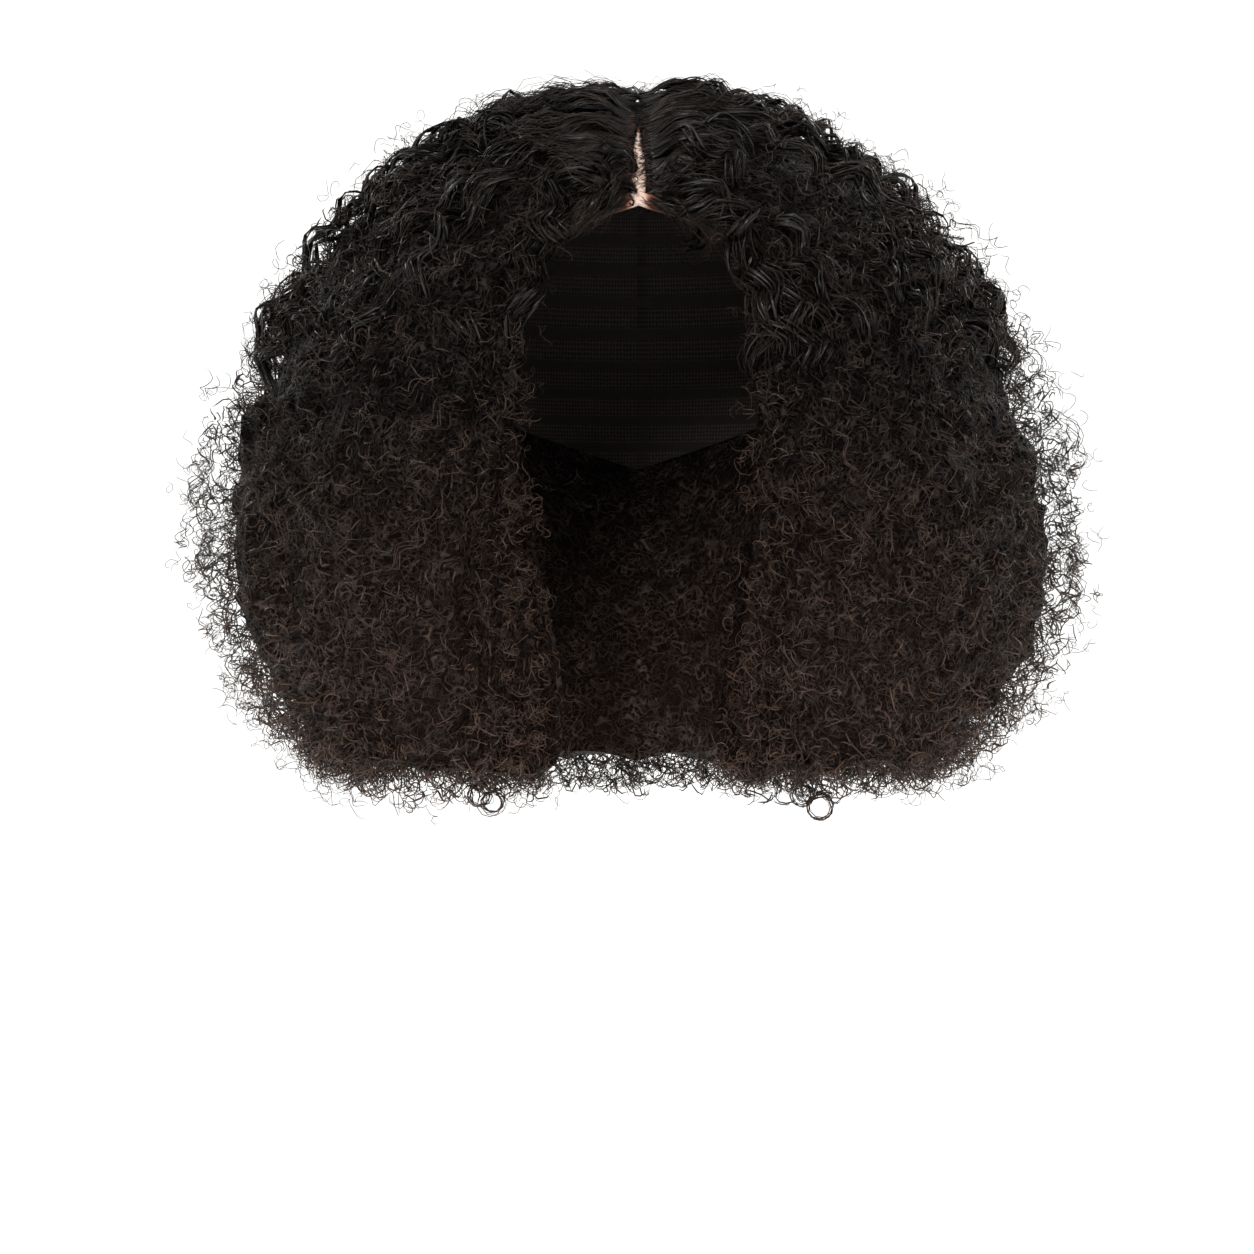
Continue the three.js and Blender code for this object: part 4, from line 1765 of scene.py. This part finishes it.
    def build(self, net: bpy.types.Material, lace: bpy.types.Material) -> list[bpy.types.Object]:
        """Builds the cap and the lace.

        Args:
            net: finish of the cap.
            lace: finish of the lace.

        Returns:
            The two pieces.
        """
        cap = self.cut("net_cap", self.fit_gap, "DIFFERENCE", net)
        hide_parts("wig_cap")
        parting = self.cut("lace_t", 0.0, "INTERSECT", lace)
        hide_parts("lace_parting")
        return [cap, parting]


class Lamp(NamedTuple):
    """A square soft light: its name, place, side and watts."""

    name: str
    place: tuple[float, float, float]
    side: float
    power: float


@dataclass(frozen=True)
class Studio:
    """Pale paper sweep, soft lights and the camera."""

    floor_z: float = -0.462
    sweep_half_width: float = 12.0
    sweep_front: float = -12.0
    sweep_back: float = 6.0
    sweep_height: float = 8.0
    bend: float = 2.5
    bend_rows: int = 24
    camera_place: tuple[float, float, float] = (-4.7 * MM, -2.0, -220.2 * MM)
    frame_width: float = 539 * MM
    frame_y: float = 10 * MM
    sensor_mm: float = 36.0
    sky: float = 0.3
    seen_sky: float = 1.0
    aim: tuple[float, float, float] = (0.0, 0.0, -0.15)
    lamps: tuple[Lamp, ...] = (
        Lamp("key", (-0.6, -2.0, 1.0), 0.7, 36.0),
        Lamp("fill", (1.3, -1.8, 0.5), 1.0, 12.0),
        Lamp("top", (0.0, -0.3, 2.0), 1.4, 8.0),
        Lamp("back_left", (-1.4, 1.6, 0.7), 1.0, 14.0),
        Lamp("back_right", (1.4, 1.6, 0.7), 1.0, 14.0),
    )

    def sweep(self) -> MeshData:
        """Works out the paper: a profile of two lines and an arc between them, carried along X.

        Returns:
            The mesh, one face wide.
        """
        turn = np.linspace(0, math.pi / 2, self.bend_rows)
        arc = np.stack([np.sin(turn), 1 - np.cos(turn)], axis=-1) * self.bend
        arc = arc + np.array([self.sweep_back - self.bend, self.floor_z])
        front, top = [self.sweep_front, self.floor_z], [self.sweep_back, self.floor_z + self.sweep_height]
        profile = np.concatenate([[front], arc, [top]])
        left, right = (
            np.insert(profile, 0, x, axis=1) for x in (-self.sweep_half_width, self.sweep_half_width)
        )
        vertices = np.stack([left, right], axis=1).reshape(-1, 3)
        return MeshData(vertices, grid_quads(len(profile), 2), NO_TRIANGLES, vertices[:, :2].copy())

    def light(self, lamp: Lamp) -> None:
        """Hangs a light in its place, turned towards the wig.

        Args:
            lamp: the light.
        """
        data = bpy.data.lights.new(lamp.name, "AREA")
        data.size = lamp.side
        data.energy = lamp.power
        hung = bpy.data.objects.new(lamp.name, data)
        hung.visible_camera = False
        bpy.context.scene.collection.objects.link(hung)
        x, y, z = np.array(self.aim) - np.array(lamp.place)
        hung.location = lamp.place
        hung.rotation_euler = (math.atan2(math.hypot(x, y), -z), 0.0, math.atan2(-x, y))

    def world(self) -> bpy.types.World:
        """Makes a white sky, dimmer towards the wig than to the eye.

        Returns:
            The world.
        """
        world = bpy.data.worlds.new("studio_sky")
        world.use_nodes = True
        tree = world.node_tree
        tree.nodes.clear()
        seen = {"To Min": self.sky, "To Max": self.seen_sky, "Value": add_node(tree, "LightPath")}
        strength = add_node(tree, "MapRange", seen)
        white = add_node(tree, "Background", {"Color": (1, 1, 1, 1), "Strength": strength})
        add_node(tree, "OutputWorld", {"Surface": white})
        return world

    def build(self, paper: bpy.types.Material) -> None:
        """Sets up the paper, the lights, the sky and the camera.

        Args:
            paper: finish of the sweep.
        """
        self.sweep().to_object("paper_sweep", paper)
        for lamp in self.lamps:
            self.light(lamp)
        scene = bpy.context.scene
        scene.world = self.world()
        scene.view_settings.view_transform = "Standard"
        data = bpy.data.cameras.new("camera")
        data.sensor_width = self.sensor_mm
        data.lens = self.sensor_mm * (self.frame_y - self.camera_place[1]) / self.frame_width
        camera = bpy.data.objects.new("camera", data)
        scene.collection.objects.link(camera)
        camera.location = self.camera_place
        camera.rotation_euler = (math.pi / 2, 0.0, 0.0)
        scene.camera = camera


def parting_layers() -> dict[str, Layer]:
    """Lists the layers that leave the parting and the waves below them.

    Returns:
        The layers by name.
    """
    combed = CombedLayer(
        seed=11, clumps=105, fibres=6, steps=11, end=(0.06, 0.14), coil=(1.0, 3.2), wave=(20, 30),
        depth=(-3, 5), spread=1.6, width=(1.4, 2.8), section=Section.LOCK, flatness=0.4,
    )
    waves = CurlLayer(
        seed=21, clumps=150, fibres=6, steps=14, fall=(0.07, 0.42), length=(36, 58), coil=(3.0, 5.0),
        turns=(1.4, 2.1), depth=(1, 3), rise=(-1, 2), heading=0.4, spread=3.6, width=(1.3, 2.6), dive=8,
        section=Section.LOCK, flatness=0.45, unevenness=0.5, wander=0.7, bundle=0.45, jitter=0.18,
    )
    fine = {"section": Section.FIBRE, "flatness": 1.0}
    return {
        "combed_locks": combed,
        "combed_fibres": replace(combed, fibres=8, depth=(-2, 6), spread=2.0, width=(0.28, 0.4), **fine),
        "wave_locks": waves,
        "wave_fibres": replace(
            waves, fibres=7, steps=12, depth=(2, 4), spread=4.0, width=(0.3, 0.42), dive=6, wander=0.8,
            bundle=0.5, jitter=0.2, **fine,
        ),
        "flyaways": CombedLayer(
            seed=13, clumps=110, steps=12, end=(0.1, 0.24), coil=(1.5, 5.0), wave=(18, 34), depth=(2, 9),
            width=(0.2, 0.28), swirl=30,
        ),
    }


def hairline_layers() -> dict[str, Layer]:
    """Lists the layers along the hairline and on the lace.

    Returns:
        The layers by name.
    """
    return {
        "hairline_locks": HairlineLayer(
            seed=64, clumps=120, fibres=2, steps=9, azimuth=(3.0, 42), behind=(3, 17), length=(18, 36),
            overhang=(-7, 1), lift=(0.6, 5.0), sway=(0.4, 1.8), width=(1.2, 2.2), section=Section.LOCK,
            flatness=0.4,
        ),
        "hairline": HairlineLayer(
            seed=61, clumps=130, fibres=4, steps=11, azimuth=(1.0, 38), behind=(0.3, 14), length=(16, 34),
            overhang=(-4, 6), lift=(0.8, 6.0), sway=(0.5, 2.4), width=(0.26, 0.38),
        ),
        "short_hairline": HairlineLayer(
            seed=63, clumps=110, fibres=2, steps=9, azimuth=(0.5, 44), behind=(0.2, 3), length=(4, 14),
            overhang=(1, 7), lift=(0.3, 2.0), sway=(0.3, 1.2), width=(0.22, 0.34), tone=0.2, wave=11,
        ),
        "baby_hairs": HairlineLayer(
            seed=62, clumps=60, steps=14, azimuth=(0.5, 40), behind=(0.3, 2), length=(8, 20),
            overhang=(2, 12), lift=(0.2, 1.5), sway=(0.6, 2.4), width=(0.16, 0.22), tone=0.25,
        ),
        "roots": PartingRoots(),
    }


def curl_layers() -> dict[str, Layer]:
    """Lists the layers of curls, from the springs below the waves to the ringlets at the hem.

    Returns:
        The layers by name.
    """
    # The arcs' shade darkens them as painted shade deep in the hair.
    arcs = CurlLayer(
        seed=35, clumps=8600, steps=5, fall=(0.2, 1.0), length=(5, 9), coil=(2.4, 4.2), turns=(0.35, 0.6),
        depth=(1, 4), rise=(-1, 3), heading=2.0, width=(0.5, 0.9), skew=1.5, unevenness=0.2, shade=0.05,
    )
    return {
        "springs": CurlLayer(
            seed=22, clumps=270, fibres=4, steps=13, fall=(0.22, 0.66), length=(16, 28), coil=(2.2, 3.8),
            turns=(1.4, 2.2), depth=(1, 7), rise=(-2, 5), heading=0.8, spread=1.2, width=(0.32, 0.44),
            skew=1.2, unevenness=0.6,
        ),
        "deep_curls": arcs,
        "curls": CurlLayer(
            seed=31, clumps=1430, fibres=2, steps=12, fall=(0.34, 1.0), length=(5, 12), coil=(1.6, 2.9),
            turns=(1.1, 1.8), depth=(0, 10), rise=(-2, 4), heading=2.0, spread=1.8, width=(0.36, 0.5),
            skew=1.4, unevenness=0.5,
        ),
        "hem_curls": CurlLayer(
            seed=36, clumps=400, fibres=2, steps=11, fall=(0.92, 1.0), length=(6, 12), coil=(1.8, 3.2),
            turns=(0.9, 1.5), depth=(-1, 6), rise=(-1, 4), heading=1.2, spread=1.6, width=(0.4, 0.6),
            unevenness=0.5, shade=0.1,
        ),
        # The fuzz's negative shade lightens it as painted light at the outline.
        "fuzz": CurlLayer(
            seed=41, clumps=1700, steps=10, fall=(0.13, 1.0), length=(5, 11), coil=(1.5, 2.7),
            turns=(0.9, 1.5), depth=(8, 14), rise=(0, 4), heading=2.0, width=(0.26, 0.36), skew=1.2,
            unevenness=0.4, shade=-0.14,
        ),
        "inner_curls": CurlLayer(
            seed=51, clumps=150, fibres=2, steps=10, fall=(0.3, 1.0), length=(7, 13), coil=(2.4, 3.8),
            turns=(0.8, 1.4), depth=(-1, 4), rise=(-2, 3), heading=2.0, spread=1.0, width=(0.4, 0.56),
            skin=Skin.INNER,
        ),
        "deep_under_curls": replace(
            arcs, seed=53, clumps=1500, fall=(0.0, 0.8), depth=(-6, 7), skew=1.3, skin=Skin.UNDER
        ),
        "under_curls": CurlLayer(
            seed=52, clumps=260, fibres=2, steps=10, fall=(0.0, 1.0), length=(6, 11), coil=(1.8, 3.2),
            turns=(0.8, 1.4), depth=(-5, 5), rise=(-2, 4), heading=2.0, spread=1.0, width=(0.4, 0.56),
            skin=Skin.UNDER,
        ),
        "ringlets": Ringlets(),
    }


def main() -> None:
    """Builds the wig piece by piece, then the studio."""
    logging.basicConfig(level=logging.INFO, format="%(message)s")
    form = HairForm()
    finishes = {Section.FIBRE: FibreFinish().build(), Section.LOCK: LockFinish().build()}
    under = UnderCurlFinish().build()
    pieces = CapAndLace(form.hollow).build(NetFinish().build(), LaceFinish().build())
    layers = parting_layers() | hairline_layers() | curl_layers()
    grown = {name: layer.grow(form) for name, layer in layers.items()}
    for mass in Mass:
        pieces += HairMass(mass, form).build(grown, under, finishes)
    for piece in pieces:
        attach(piece, "root")
        piece.data.calc_loop_triangles()
        LOG.info("%s: %d triangles", piece.name, len(piece.data.loop_triangles))
    Studio().build(PaperFinish().build())


if __name__ == "__main__":
    main()
